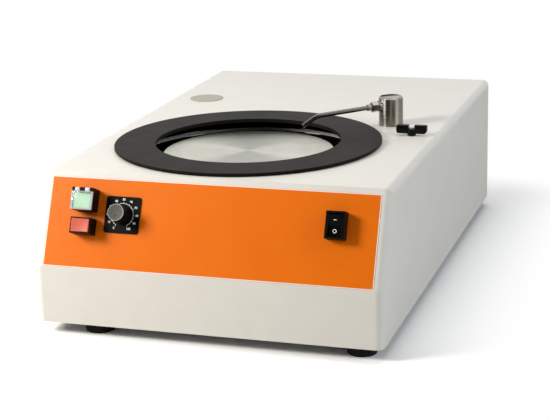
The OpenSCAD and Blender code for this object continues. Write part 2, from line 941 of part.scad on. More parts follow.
module bowl() place() color("#101010") difference() {
    union() {
        at_well() rotate_extrude() bowl_section();
        translate([drain_x, drain_y, bowl_under - drain_stub]) cylinder(r = drain_r, h = drain_stub);
    }
    translate([drain_x, drain_y, bowl_under - drain_stub - over])
        cylinder(r = drain_bore, h = drain_stub + bowl_t + 2 * over);
    at_well() around(bowl_screw_count, bowl_screw_turn)
        translate([bowl_screw_r, 0, under_top - rim_pad_t - gasket_t - flange_t - over])
            cylinder(r = m4_r + hole_gap, h = flange_t + 2 * over);
}

module bowl_gasket() place() color("#33383c") at_well() difference() {
    ring_of(rim_pad_r, bowl_r + bowl_t + gasket_gap, under_top - rim_pad_t - gasket_t, gasket_t);
    around(bowl_screw_count, bowl_screw_turn)
        translate([bowl_screw_r, 0, under_top - rim_pad_t - gasket_t - over])
        cylinder(r = m4_r + hole_gap, h = gasket_t + 2 * over);
}

module hole_plug() place() color("#c0bab0") translate([plug_x, plug_y, top_z]) {
    cylinder(r = plug_r, h = plug_flange_t);
    translate([0, 0, -plug_skirt_h]) tube(plug_skirt_r, plug_skirt_r - plug_skirt_t, plug_skirt_h);
}

module splash_ring() place() color("#3f3e3b") at_well() rotate_extrude() {
    lip_r = bowl_r - ring_lip_gap;
    polygon([
        [ring_in_r, top_z], [lip_r - ring_lip_t, top_z],
        [lip_r - ring_lip_t, top_z - ring_lip_h], [lip_r, top_z - ring_lip_h], [lip_r, top_z],
        [ring_r - ring_step_w, top_z], [ring_r - ring_step_w, top_z + ring_step_h],
        [ring_r, top_z + ring_step_h], [ring_r, top_z + ring_t - ring_edge],
        [ring_r - ring_edge, top_z + ring_t], [ring_in_r + ring_edge, top_z + ring_t],
        [ring_in_r, top_z + ring_t - ring_edge]
    ]);
}

module platen() place() color("#b9bab5") at_well() difference() {
    rotate_extrude() polygon([
        [0, platen_z], [platen_r - platen_edge, platen_z], [platen_r, platen_z + platen_edge],
        [platen_r, platen_z + platen_t - platen_edge], [platen_r - platen_edge, platen_z + platen_t],
        [0, platen_z + platen_t]
    ]);
    translate([0, 0, platen_z - over])
        cylinder(r = spigot_r + running_gap, h = spigot_h + spigot_room + over);
    around(pin_count) translate([pin_circle, 0, platen_z - over])
        cylinder(r = pin_r + running_gap, h = pin_h + spigot_room + over);
}

module drive_plate() place() color("#a7a9a8") at_well() difference() {
    union() {
        translate([0, 0, drive_z]) cylinder(r = drive_plate_r, h = drive_plate_t);
        translate([0, 0, platen_z]) cylinder(r = spigot_r, h = spigot_h);
        translate([0, 0, hub_z]) cylinder(r = hub_r, h = drive_z - hub_z);
        ring_of(slinger_r + slinger_t, slinger_r, drive_z - slinger_h, slinger_h);
    }
    translate([0, 0, hub_z - over]) cylinder(r = hub_bore_r + seat_gap, h = drive_z - hub_z + over);
    translate([0, 0, hub_z]) cylinder(r = hub_bolt_r + hole_gap, h = platen_z + spigot_h);
    translate([0, 0, platen_z + spigot_h - hub_bolt_head_h])
        cylinder(r = hub_bolt_head_r + hole_gap, h = hub_bolt_head_h + over);
    around(pin_count) translate([pin_circle, 0, drive_z - over])
        cylinder(r = pin_r + seat_gap, h = drive_plate_t + 2 * over);
}

module drive_pins() place() color("#c9cacb") at_well() around(pin_count)
    translate([pin_circle, 0, drive_z]) cylinder(r = pin_r, h = drive_plate_t + pin_h);

module spindle() place() color("#b0b2b4") at_well() difference() {
    union() {
        translate([0, 0, base_top + spindle_floor_gap]) cylinder(r = nut_thread_r, h = pulley_z - base_top);
        translate([0, 0, pulley_z]) cylinder(r = spindle_r - seat_gap, h = hub_z - pulley_z);
        translate([0, 0, lower_bearing_z + bearing_w])
            cylinder(r = shoulder_r, h = upper_bearing_z - lower_bearing_z - bearing_w);
        translate([0, 0, hub_z]) cylinder(r = hub_bore_r, h = drive_z - hub_z);
    }
    translate([0, 0, drive_z + over - hub_bolt_l]) cylinder(r = hub_bolt_r + thread_gap, h = hub_bolt_l);
}

module spindle_fasteners() place() color("#8f9295") at_well() {
    translate([0, 0, base_top + spindle_floor_gap + edge_gap])
        hex_nut(nut_r, nut_h, nut_thread_r + thread_gap);
    translate([0, 0, platen_z + spigot_h - hub_bolt_head_h]) difference() {
        union() {
            cylinder(r = hub_bolt_head_r, h = hub_bolt_head_h - edge_gap);
            translate([0, 0, -hub_bolt_l]) cylinder(r = hub_bolt_r, h = hub_bolt_l);
        }
        translate([0, 0, slot_depth]) cylinder(r = hub_bolt_r, h = hub_bolt_head_h, $fn = 6);
    }
}

module at_bearings() {
    for (z = [lower_bearing_z, upper_bearing_z]) translate([0, 0, z]) children();
}

module ball_groove() {
    translate([0, 0, bearing_w / 2]) rotate_extrude() translate([ball_pitch_r, 0])
        circle(r = ball_r + ball_gap);
}

module bearing_outer_rings() place() color("#c4c6c8") at_well() at_bearings() difference() {
    tube(bearing_r - seat_gap, outer_land_r, bearing_w);
    ball_groove();
}

module bearing_inner_rings() place() color("#c4c6c8") at_well() at_bearings() difference() {
    tube(inner_land_r, spindle_r, bearing_w);
    ball_groove();
}

module bearing_balls() place() color("#d4d6d8") at_well() at_bearings() around(ball_count)
    translate([ball_pitch_r, 0, bearing_w / 2]) sphere(r = ball_r, $fn = 48);

module spindle_seal() place() color("#2c2f31") at_well() {
    ring_of(bearing_r - seat_gap, bearing_r - seal_ring_t, seal_z, seal_w);
    ring_of(bearing_r - seal_ring_t, spindle_r + running_gap, seal_z, seal_lip_t);
}

module spindle_housing() place() color("#6d7276") at_well() difference() {
    union() {
        translate([0, 0, bridge_top]) cylinder(r = spindle_flange_r, h = spindle_flange_t);
        translate([0, 0, bridge_top]) cylinder(r = tube_r, h = tube_top - bridge_top);
    }
    translate([0, 0, bridge_top - over]) cylinder(r = mid_bore_r, h = tube_top - bridge_top + 2 * over);
    translate([0, 0, bridge_top - over]) cylinder(r = bearing_r, h = bearing_w + over);
    translate([0, 0, upper_bearing_z]) cylinder(r = bearing_r, h = tube_top - upper_bearing_z + over);
    around(spindle_bolt_count, bolt_turn) translate([spindle_bolt_r, 0, bridge_top - over])
        cylinder(r = m6_r + hole_gap, h = spindle_flange_t + 2 * over);
}

// Half section of a belt pulley with its rim, web and hub
module pulley_section(r, hub, bore) {
    translate([bore, 0]) square([hub - bore, bridge_top - pulley_z]);
    translate([bore, (pulley_w - pulley_web_t) / 2]) square([r - bore, pulley_web_t]);
    translate([r - pulley_rim_t, 0]) square([pulley_rim_t, pulley_w]);
    for (z = [0, pulley_w - pulley_flange_h])
        translate([r - pulley_rim_t, z]) square([pulley_rim_t + pulley_flange_w, pulley_flange_h]);
}

module driven_pulley() place() color("#8b8e90") at_well() translate([0, 0, pulley_z])
    rotate_extrude() pulley_section(big_pulley_r, pulley_hub_r, spindle_r);

module motor_pulley() place() color("#8b8e90") translate([well_x, motor_y, pulley_z]) rotate_extrude() {
    translate([motor_shaft_r, 0]) square([small_pulley_r - motor_shaft_r, pulley_w]);
    for (z = [0, pulley_w - pulley_flange_h])
        translate([motor_shaft_r, z])
            square([small_pulley_r + pulley_flange_w - motor_shaft_r, pulley_flange_h]);
}

// Outline of a belt around both pulleys, grown by a thickness
module belt_outline(grow) {
    hull() {
        circle(r = big_belt_r + grow);
        translate([0, drive_span]) circle(r = small_belt_r + grow);
    }
}

module drive_belt() place() color("#202224") at_well()
    translate([0, 0, pulley_z + (pulley_w - belt_w) / 2]) linear_extrude(belt_w) difference() {
        belt_outline(belt_t);
        belt_outline(0);
    }

module at_motor(z) {
    translate([well_x, motor_y, z]) children();
}

module motor_can() place() color("#5f6468") {
    at_motor(bridge_top + bell_t) difference() {
        union() {
            tube(motor_r, motor_r - can_t, motor_h - 2 * bell_t);
            for (x = [-1, 1]) intersection() {
                tube(motor_r - can_t + over, motor_r - can_t - magnet_t, motor_h - 2 * bell_t);
                translate([x * motor_r, 0, 0]) block(motor_r, motor_r, motor_h);
            }
        }
    }
    translate([well_x, motor_y + motor_r + (terminal_box_d - can_t) / 2, terminal_box_z]) difference() {
        block(terminal_box_w, terminal_box_d + can_t, terminal_box_h);
        translate([0, -motor_r - (terminal_box_d - can_t) / 2, -over])
            cylinder(r = motor_r - can_t / 2, h = terminal_box_h + 2 * over);
    }
}

module motor_end_bells() place() color("#9da0a2") {
    for (z = [bridge_top, bridge_top + motor_h - bell_t]) at_motor(z) difference() {
        tube(motor_r, motor_shaft_r + running_gap, bell_t);
        if (z == bridge_top) around(motor_bolt_count, bolt_turn) translate([motor_bolt_r, 0, -over])
            cylinder(r = m6_r + thread_gap, h = m6_l - bridge_t + over);
    }
}

module motor_armature() place() color("#9c6b3f") {
    core_r = motor_r - can_t - magnet_t - armature_gap;
    low = bridge_top + bell_t + armature_end_gap;
    high = bridge_top + motor_h - bell_t - commutator_h - armature_end_gap;
    at_motor(base_top + spindle_floor_gap + nut_h)
        cylinder(r = motor_shaft_r - seat_gap, h = bridge_h + motor_h - nut_h - motor_shaft_short);
    at_motor(low) cylinder(r = core_r, h = high - low);
    at_motor(high) cylinder(r = commutator_r, h = commutator_h);
}

// Square body of a push button on a threaded barrel, outwards along Z
module button_body(w, d, h) {
    difference() {
        union() {
            block(w, d, h);
            translate([0, 0, -barrel_l]) cylinder(r = m16_r, h = barrel_l);
            translate([0, 0, -barrel_l - contact_h]) block(contact_w, contact_w, contact_h);
        }
        translate([0, 0, h - bezel_floor]) block(w - 2 * bezel_wall, d - 2 * bezel_wall, bezel_floor + over);
        translate([0, 0, h - bezel_floor - plunger_l])
            cylinder(r = plunger_r + cap_gap, h = plunger_l + over);
    }
}

// Cap of a push button on its plunger, level with the top of the body or proud of it
module button_cap(w, d, h, proud = 0) {
    low = h - bezel_floor + press_travel + cap_gap;
    translate([0, 0, low])
        block(w - 2 * bezel_wall - 2 * cap_gap, d - 2 * bezel_wall - 2 * cap_gap, h - low + proud);
    translate([0, 0, h - bezel_floor - plunger_l + press_travel + cap_gap])
        cylinder(r = plunger_r, h = plunger_l);
}

module stop_button_body() place() color("#141414") on_slope(stop_x, stop_v, decal_t)
    button_body(stop_w, stop_d, stop_h);

module stop_cap() place() color("#e2705f") on_slope(stop_x, stop_v, decal_t)
    button_cap(stop_w, stop_d, stop_h, cap_proud);

module start_button_body() place() color("#141414") on_slope(start_x, start_v, decal_t) {
    axis_z = start_h + guard_gap + guard_h / 2;
    side_w = start_w / 2 - lug_x - lug_w / 2 - part_gap;
    block_d = 2 * (hinge_d - hinge_out);
    button_body(start_w, start_d, start_h);
    translate([0, start_d / 2, 0]) {
        translate([0, (hinge_d - over) / 2, 0]) block(start_w, hinge_d + over, start_h);
        for (p = [[0, mid_lug_w], [(start_w - side_w) / 2, side_w], [(side_w - start_w) / 2, side_w]])
            translate([p[0], hinge_out, start_h - over])
                block(p[1], block_d, axis_z - start_h + hinge_pin_r + hinge_cover + over);
        translate([0, hinge_out, axis_z]) rotate([0, 90, 0]) translate([0, 0, -start_w / 2 + over])
            cylinder(r = hinge_pin_r, h = start_w - 2 * over);
    }
}

module start_cap() place() color("#c9efc4") on_slope(start_x, start_v, decal_t)
    button_cap(start_w, start_d, start_h);

module start_guard() place() color("#dfe8ea")
    on_slope(start_x, start_v, decal_t + start_h + guard_gap) difference() {
    union() {
        block(start_w, start_d, guard_h);
        for (x = [-1, 1]) translate([x * lug_x, start_d / 2, 0]) {
            translate([0, hinge_out, guard_h / 2]) rotate([0, 90, 0]) translate([0, 0, -lug_w / 2])
                cylinder(r = knuckle_r, h = lug_w);
            translate([0, hinge_out / 2, guard_h / 2 - hinge_pin_r])
                block(lug_w, hinge_out + over, 2 * hinge_pin_r);
        }
    }
    translate([0, 0, -over]) block(start_w - 2 * guard_t, start_d - 2 * guard_t, guard_h - guard_t + over);
    translate([0, start_d / 2 + hinge_out, guard_h / 2]) rotate([0, 90, 0]) translate([0, 0, -start_w / 2])
        cylinder(r = hinge_pin_r + running_gap, h = start_w);
}

module speed_pot_body() place() color("#54585b") on_slope(dial_x, dial_v) difference() {
    union() {
        translate([0, 0, -wall - pot_h]) cylinder(r = pot_r, h = pot_h);
        translate([0, 0, -wall]) cylinder(r = pot_bush_r, h = wall + decal_t + dial_plate_t + pot_bush_out);
    }
    translate([0, 0, -wall - pot_h / 2]) cylinder(r = pot_shaft_r + running_gap, h = body_h);
}

module pot_shaft() place() color("#c2c3c4") on_slope(dial_x, dial_v, -wall - pot_h / 2 + edge_gap)
    cylinder(r = pot_shaft_r, h = pot_h / 2 - edge_gap + decal_t + dial_plate_t + knob_lift + knob_h);

module speed_knob() place() color("#191919")
    on_slope(dial_x, dial_v, decal_t + dial_plate_t + knob_lift) difference() {
    union() {
        cylinder(r = knob_r, h = knob_h - knob_cap_t);
        cylinder(r = knob_r + knob_skirt_w, h = knob_skirt_h);
    }
    translate([0, 0, -over]) cylinder(r = knob_room_r, h = knob_room_h + over);
    translate([0, 0, -over]) cylinder(r = pot_shaft_r + seat_gap, h = knob_h - wall + over);
    around(flute_count) translate([knob_r + flute_r / 2, 0, knob_skirt_h + flute_r])
        cylinder(r = flute_r, h = knob_h * flute_h_share, $fn = 24);
}

module knob_cap() place() color("#8f8f8b")
    on_slope(dial_x, dial_v, decal_t + dial_plate_t + knob_lift + knob_h - knob_cap_t)
        cylinder(r = knob_r - knob_cap_in, h = knob_cap_t);

module power_switch_body() place() color("#121212") on_slope(switch_x, switch_v) difference() {
    axis_z = decal_t + switch_h - pivot_depth;
    union() {
        translate([0, 0, decal_t]) block(switch_w, switch_l, switch_h);
        translate([0, 0, -switch_body_l])
            block(switch_w - 2 * switch_body_gap, switch_l - 2 * switch_body_gap, switch_body_l + decal_t);
        for (y = [-1, 0, 1]) translate([0, y * spade_gap + spade_gap / 4, -switch_body_l - spade_l])
            block(spade_w, spade_t, spade_l);
    }
    translate([0, 0, axis_z]) rotate([0, 90, 0]) translate([0, 0, -paddle_w / 2 - paddle_gap])
        cylinder(r = paddle_half + paddle_gap, h = paddle_w + 2 * paddle_gap);
    translate([0, 0, axis_z]) block(paddle_w + 2 * paddle_gap, 2 * (paddle_half + paddle_gap), switch_h);
    translate([0, 0, axis_z]) rotate([0, 90, 0]) translate([0, 0, -paddle_w / 2 - paddle_pin_l - paddle_gap])
        cylinder(r = paddle_pin_r + running_gap, h = paddle_w + 2 * paddle_pin_l + 2 * paddle_gap);
}

// Paddle in its off position, with the lower half pressed in
module power_rocker() place() color("#181818")
    on_slope(switch_x, switch_v, decal_t + switch_h - pivot_depth) {
    rise = paddle_half * tan(paddle_angle);
    crest = pivot_depth - rise;
    rotate([paddle_angle, 0, 0]) {
        translate([-paddle_w / 2, 0, 0]) rotate([90, 0, 90]) linear_extrude(paddle_w) intersection() {
            circle(r = paddle_half);
            polygon([
                [-paddle_half - over, -paddle_under], [paddle_half + over, -paddle_under],
                [paddle_half + over, crest + rise], [0, crest], [-paddle_half - over, crest + rise]
            ]);
        }
        rotate([0, 90, 0]) translate([0, 0, -paddle_w / 2 - paddle_pin_l])
            cylinder(r = paddle_pin_r, h = paddle_w + 2 * paddle_pin_l);
    }
}

module at_post(z) {
    translate([post_x, post_y, z]) children();
}

module at_valve(z) {
    translate([valve_x, valve_y, z]) children();
}

hose_turn = atan2(post_y - valve_y, post_x - valve_x);
hose_span = sqrt(pow(post_x - valve_x, 2) + pow(post_y - valve_y, 2));

module at_seal_rings() {
    at_post(top_z + collar_t + seal_rise) children();
    at_post(top_z + nozzle_rise - stem_bore_r - seal_groove_w) children();
}

module post_stem() place() color("#b79a5b") {
    difference() {
        union() {
            at_post(top_z) cylinder(r = collar_out_r, h = collar_t);
            at_post(top_z) cylinder(r = stem_r, h = stem_h);
            at_post(under_top - m16_nut_h - over) cylinder(r = m16_r, h = m16_nut_h + wall + over);
            at_post(valve_mid - post_block_r)
                cylinder(r = post_block_r, h = under_top - m16_nut_h - valve_mid + post_block_r);
            at_post(valve_mid) rotate([0, 0, hose_turn + 180]) rotate([0, 90, 0]) {
                cylinder(r = stub_r + hose_wall, h = post_face);
                cylinder(r = stub_r, h = post_face + stub_l);
            }
        }
        at_post(valve_mid) cylinder(r = stem_bore_r, h = top_z + nozzle_rise - valve_mid);
        at_post(valve_mid) rotate([0, 0, hose_turn + 180]) rotate([0, 90, 0])
            cylinder(r = stem_bore_r, h = post_face + stub_l + over);
        at_post(top_z + nozzle_rise) rotate([0, 90, nozzle_turn]) cylinder(r = stem_bore_r, h = 2 * stem_r);
        at_seal_rings() rotate_extrude() translate([stem_r - 2 * seal_ring_r, -seal_groove_w / 2])
            square([2 * seal_ring_r + over, seal_groove_w]);
    }
    at_seal_rings() rotate_extrude() translate([stem_r - seal_ring_r, 0]) circle(r = seal_ring_r);
}

module at_nozzle() {
    at_post(top_z + nozzle_rise) rotate([0, 90 + droop_angle, nozzle_turn]) children();
}

module water_post() place() color("#c7c6c2") difference() {
    at_post(top_z) rotate_extrude() polygon([
        [0, 0], [post_r, 0], [post_r, post_h - post_chamfer], [post_r - post_chamfer, post_h], [0, post_h]
    ]);
    at_post(top_z - over) cylinder(r = collar_out_r + part_gap, h = collar_t + part_gap + over);
    at_post(top_z - over) cylinder(r = stem_r + running_gap, h = stem_h + post_room + over);
    at_nozzle() cylinder(r = port_r, h = 2 * post_r);
    at_nozzle() translate([0, 0, fitting_start]) cylinder(r = washer_r, h = post_r);
}

module nozzle_fitting() place() color("#b9b7b1") at_nozzle() difference() {
    s0 = fitting_start;
    s1 = s0 + washer_t + post_r - s0;
    s2 = s1 + dark_hex_l;
    s3 = s2 + hex_l;
    union() {
        translate([0, 0, s0]) cylinder(r = washer_r - seat_gap, h = s1 - s0);
        translate([0, 0, s1]) cylinder(r = dark_hex_r, h = dark_hex_l, $fn = 6);
        translate([0, 0, s2]) cylinder(r = hex_r, h = hex_l, $fn = 6);
        translate([0, 0, s3]) cylinder(r = ferrule_r, h = ferrule_l);
    }
    translate([0, 0, s0 - over]) cylinder(r = nozzle_bore_r, h = post_r);
    translate([0, 0, s1]) cylinder(r = nozzle_r + seat_gap, h = dark_hex_l + hex_l + ferrule_l + over);
}

module nozzle_tube() place() color("#a9a69e") at_nozzle() {
    start = post_r + washer_t;
    translate([0, 0, start]) pipe([
        [nozzle_reach - start, nozzle_bend_r, nozzle_bend_angle, 0],
        [nozzle_tip_l, 0, 0, 0]
    ], nozzle_r, nozzle_bore_r);
}

module water_valve() place() color("#b0904f") difference() {
    union() {
        at_valve(top_z) cylinder(r = valve_flange_r, h = valve_flange_t);
        at_valve(under_top - valve_neck_l) cylinder(r = m10_r, h = valve_neck_l + wall);
        at_valve(valve_bottom) cylinder(r = valve_r, h = valve_h);
        at_valve(valve_bottom - stub_l) cylinder(r = stub_r, h = stub_l);
        at_valve(valve_mid) rotate([0, 0, hose_turn]) rotate([0, 90, 0]) {
            cylinder(r = stub_r + hose_wall, h = boss_face);
            cylinder(r = stub_r, h = boss_face + stub_l);
        }
    }
    at_valve(valve_mid) cylinder(r = neck_bore_r + running_gap, h = body_h);
    at_valve(valve_mid - plug_body_h / 2 - part_gap)
        cylinder(r = plug_body_r + running_gap, h = plug_body_h + 2 * part_gap);
    at_valve(valve_bottom - stub_l - over) cylinder(r = port_r, h = valve_h / 2 + stub_l);
    at_valve(valve_mid) rotate([0, 0, hose_turn]) rotate([0, 90, 0])
        cylinder(r = port_r, h = boss_face + stub_l + over);
}

module valve_stem() place() color("#b9babb") {
    top = top_z + part_gap + handle_hub_h;
    difference() {
        union() {
            at_valve(valve_mid - plug_body_h / 2) cylinder(r = plug_body_r, h = plug_body_h);
            at_valve(valve_mid) cylinder(r = neck_bore_r, h = top - screw_head_h - valve_mid);
        }
        at_valve(valve_mid - plug_body_h / 2 - over) cylinder(r = port_r, h = plug_body_h / 2 + over);
        at_valve(valve_mid) rotate([0, 0, hose_turn]) rotate([0, 90, 0])
            cylinder(r = port_r, h = 2 * plug_body_r);
        at_valve(top - screw_head_h - screw_l) cylinder(r = screw_r + thread_gap, h = screw_l + over);
    }
    difference() {
        union() {
            at_valve(top) cylinder(r = screw_head_r, h = screw_head_h);
            at_valve(top - screw_head_h - screw_l) cylinder(r = screw_r, h = screw_l + 2 * screw_head_h);
        }
        at_valve(top + screw_head_h - slot_depth / 2) block(2 * screw_head_r + over, slot_w / 2, slot_depth);
    }
}

module valve_handle() place() color("#161616") at_valve(top_z + valve_flange_t + part_gap) difference() {
    union() {
        cylinder(r = handle_hub_r, h = handle_hub_h - valve_flange_t);
        around(2) {
            translate([wing_inner, -wing_w / 2, wing_lift]) rotate([90, 0, 90])
                linear_extrude(handle_span / 2 - wing_inner - wing_round)
                    translate([wing_w / 2, wing_h / 2]) rounded(wing_w, wing_h, wing_round / 2);
            translate([(handle_span - wing_w) / 2, 0, wing_lift])
                rounded_block(wing_w, wing_w, wing_h, wing_round);
        }
    }
    translate([0, 0, -over])
        cylinder(r = neck_bore_r + seat_gap, h = handle_hub_h + over - screw_head_h - valve_flange_t);
    translate([0, 0, -over]) cylinder(r = screw_r + hole_gap, h = handle_hub_h + 2 * over);
    translate([0, 0, handle_hub_h - valve_flange_t]) cylinder(r = handle_hub_r - hole_gap, h = wing_h);
}

module water_inlet_barb() place() color("#b0904f") translate([valve_x, 0, water_z])
    rotate([-90, 0, 0]) difference() {
    union() {
        translate([0, 0, hose_end]) cylinder(r = m16_r, h = m16_nut_h + panel_t);
        translate([0, 0, rear_y]) cylinder(r = m16_nut_r, h = m16_nut_h, $fn = 6);
        translate([0, 0, rear_y]) cylinder(r = barb_r, h = inlet_reach);
        for (i = [0 : barb_count - 1]) translate([0, 0, rear_y + inlet_reach - (i + 1) * barb_pitch])
            cylinder(r1 = barb_r + barb_step, r2 = barb_r - seat_gap, h = barb_pitch);
        translate([0, 0, hose_end - stub_l]) cylinder(r = stub_r, h = stub_l + over);
    }
    translate([0, 0, hose_end - stub_l - over]) cylinder(r = port_r, h = inlet_reach + body_h);
}

module water_hoses() place() color("#9fb4b8") {
    at_valve(valve_bottom) rotate([180, 0, 0]) pipe([
        [hose_drop, hose_bend_r, 90, -90],
        [hose_end - valve_y - hose_bend_r, 0, 0, 0]
    ], stub_r + hose_wall, stub_r + thread_gap);
    at_valve(valve_mid) rotate([0, 0, hose_turn]) rotate([0, 90, 0]) translate([0, 0, boss_face])
        pipe([[hose_span - boss_face - post_face, 0, 0, 0]], stub_r + hose_wall, stub_r + thread_gap);
}

module drain_hose() place() color("#5a5e60") translate([drain_x, drain_y, bowl_under])
    rotate([180, 0, 0]) pipe([
    [drain_drop, drain_bend_r, 90 - drain_slope_angle, -90],
    [drain_run, drain_bend_r, drain_slope_angle, 0],
    [drain_tail, 0, 0, 0]
], drain_r + drain_wall, drain_r + thread_gap);

module drain_spigot() place() color("#2a2c2e") translate([drain_x, 0, drain_z])
    rotate([-90, 0, 0]) difference() {
    union() {
        translate([0, 0, body_d - drain_nut_t - drain_inner_l])
            cylinder(r = drain_r, h = drain_inner_l + drain_nut_t + panel_t + drain_reach);
        translate([0, 0, body_d - drain_nut_t]) cylinder(r = drain_nut_r, h = drain_nut_t, $fn = 6);
        translate([0, 0, rear_y]) cylinder(r = drain_nut_r, h = wall);
    }
    translate([0, 0, body_d - drain_nut_t - drain_inner_l - over])
        cylinder(r = drain_bore, h = drain_inner_l + drain_nut_t + panel_t + drain_reach + 2 * over);
}

// Mains socket seen from behind the machine: right, up, outwards
module at_mains(out = 0) {
    translate([mains_x, rear_y + out, inlet_z]) rotate([90, 0, 180]) children();
}

module mains_inlet() place() color("#151515") at_mains() {
    difference() {
        union() {
            rounded_block(inlet_w, inlet_h, inlet_t, wall);
            translate([0, 0, -inlet_body_d])
                linear_extrude(inlet_body_d) square([inlet_body_w, inlet_body_h], center = true);
        }
        translate([0, socket_up, inlet_t - socket_d]) linear_extrude(socket_d + over)
            rounded(socket_w, socket_h, wall);
        translate([0, -drawer_down, inlet_t - drawer_d - over]) linear_extrude(drawer_d + 2 * over)
            square([drawer_w + 2 * drawer_gap, drawer_h + 2 * drawer_gap], center = true);
        for (x = [-1, 1]) translate([x * inlet_screw_x, 0, -over])
            cylinder(r = m4_r + hole_gap, h = inlet_t + 2 * over);
    }
    for (p = [[-blade_x, -blade_drop], [blade_x, -blade_drop], [0, earth_rise]])
        translate([p[0] - blade_w / 2, socket_up + p[1] - blade_h / 2, inlet_t - socket_d])
            cube([blade_w, blade_h, blade_l]);
}

module fuse_drawer() place() color("#1d1d1d") at_mains()
    translate([0, -drawer_down, inlet_t - drawer_d]) difference() {
    linear_extrude(drawer_d + drawer_face_t) square([drawer_w, drawer_h], center = true);
    translate([-drawer_w / 4, 0, wall / 2]) {
        cylinder(r = fuse_r + thread_gap, h = fuse_l);
        translate([-fuse_r, 0, 0]) cube([2 * fuse_r, drawer_h, fuse_l]);
    }
}

module control_board() place() translate([board_x, board_y, 0]) {
    color("#2f6b46") translate([0, 0, board_top - board_t]) cube([board_w, board_d, board_t]);
    color("#c0c2c4") for (x = [standoff_in, board_w - standoff_in], y = [standoff_in, board_d - standoff_in])
        translate([x, y, base_top]) cylinder(r = standoff_r, h = standoff_h);
    color("#2b5f97") for (y = [0, board_d - strip_d]) translate([0, y, board_top])
        cube([board_w, strip_d, strip_h]);
    color("#a3a6a8") translate([board_w / 3, (board_d - sink_d) / 2, board_top]) {
        cube([sink_w, sink_d, sink_base]);
        for (i = [0 : floor((sink_w - fin_t) / fin_step)])
            translate([i * fin_step, 0, sink_base]) cube([fin_t, sink_d, sink_h - sink_base]);
    }
    color("#24272a") for (i = [0, 1])
        translate([capacitor_r + standoff_in + i * capacitor_step, board_d / 2, board_top])
        cylinder(r = capacitor_r, h = capacitor_h);
    color("#31343a") translate([board_w - relay_w - standoff_in, (board_d - relay_w) / 2, board_top])
        cube([relay_w, relay_w, relay_h]);
}

// Depth and height of a point behind the sloping face
function behind_y(v, depth) = v * sin(lean) - depth * cos(lean);
function behind_z(v, depth) = front_top + v * cos(lean) + depth * sin(lean);

// Wire from the board's front terminals to the back of a control on the slope
module front_wire(x, v, depth, z) {
    bend_z = wire_bend_r * (1 - cos(lean));
    bend_y = wire_bend_r * sin(lean);
    rise = (behind_z(v, depth) - z - bend_z) / sin(lean);
    run = board_y - behind_y(v, depth) - rise * cos(lean) - bend_y;
    translate([x, board_y, z]) rotate([90, 0, 0]) trail([
        [run, wire_bend_r, lean, 90],
        [rise, 0, 0, 0]
    ], wire_r);
}

module switch_wire() {
    z = low_wire_z;
    start = board_x + board_w;
    bend_z = wire_bend_r * (1 - cos(lean));
    bend_y = wire_bend_r * sin(lean);
    v = switch_v - spade_gap / 2 + spade_gap / 4;
    rise = (behind_z(v, switch_back) - z - bend_z) / sin(lean);
    run = board_y + strip_d / 2 - tight_bend_r - behind_y(v, switch_back) - rise * cos(lean) - bend_y;
    translate([start, board_y + strip_d / 2, z]) rotate([0, 90, 0]) trail([
        [switch_x - start - tight_bend_r, tight_bend_r, 90, -90],
        [run, wire_bend_r, lean, -90],
        [rise, 0, 0, 0]
    ], wire_r / 2);
}

module motor_wire() {
    back_y = motor_y + motor_r + terminal_box_d;
    start_y = board_y + strip_d / 2;
    translate([well_x, start_y, board_top + strip_h])
        trail([
            [terminal_box_z + terminal_box_h / 2 - board_top - strip_h - tight_bend_r, tight_bend_r, 90, -90],
            [start_y - tight_bend_r - back_y, 0, 0, 0]
        ], wire_r);
}

module mains_wire() {
    start_y = rear_y - inlet_body_d;
    end_y = board_y + board_d - strip_d / 2;
    translate([mains_x, start_y, inlet_z]) rotate([90, 0, 0]) trail([
        [start_y - end_y - tight_bend_r, tight_bend_r, 90, -90],
        [inlet_z - tight_bend_r - board_top - strip_h, 0, 0, 0]
    ], wire_r);
}

module wiring_loom() place() color("#26282a") {
    front_wire(stop_x, stop_v, stop_back, low_wire_z);
    front_wire(start_x, start_v, stop_back, high_wire_z);
    front_wire(dial_x, dial_v, pot_back, low_wire_z);
    switch_wire();
    motor_wire();
    mains_wire();
}

housing_shell();
rear_panel();
base_plate();
rubber_foot(foot_left_in - half_w, foot_in);  // foot_front_left
rubber_foot(half_w - foot_right_in, foot_in);  // foot_front_right
rubber_foot(foot_left_in - half_w, body_d - foot_in);  // foot_rear_left
rubber_foot(half_w - foot_right_in, body_d - foot_in);  // foot_rear_right
m4_screws();
m6_bolts();
m10_nuts();
m16_nuts();
chassis_bridge();
front_decal();
dial_plate();
bowl();
bowl_gasket();
hole_plug();
spindle_housing();
bearing_outer_rings();
spindle_seal();
drive_belt();
motor_can();
motor_end_bells();
start_button_body();
stop_button_body();
speed_pot_body();
power_switch_body();
control_board();
mains_inlet();
water_inlet_barb();
water_hoses();
water_valve();
post_stem();
drain_hose();
drain_spigot();
wiring_loom();
spindle();
drive_plate();
drive_pins();
bearing_inner_rings();
driven_pulley();
spindle_fasteners();
bearing_balls();
platen();
splash_ring();
motor_armature();
motor_pulley();
start_cap();
start_guard();
stop_cap();
speed_knob();
knob_cap();
pot_shaft();
power_rocker();
water_post();
nozzle_fitting();
nozzle_tube();
valve_stem();
valve_handle();
fuse_drawer();
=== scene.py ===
# Single wheel polishing machine: finishes, print and small moulded pieces over its CAD frame
import bpy
import math
from mathutils import Matrix, Vector


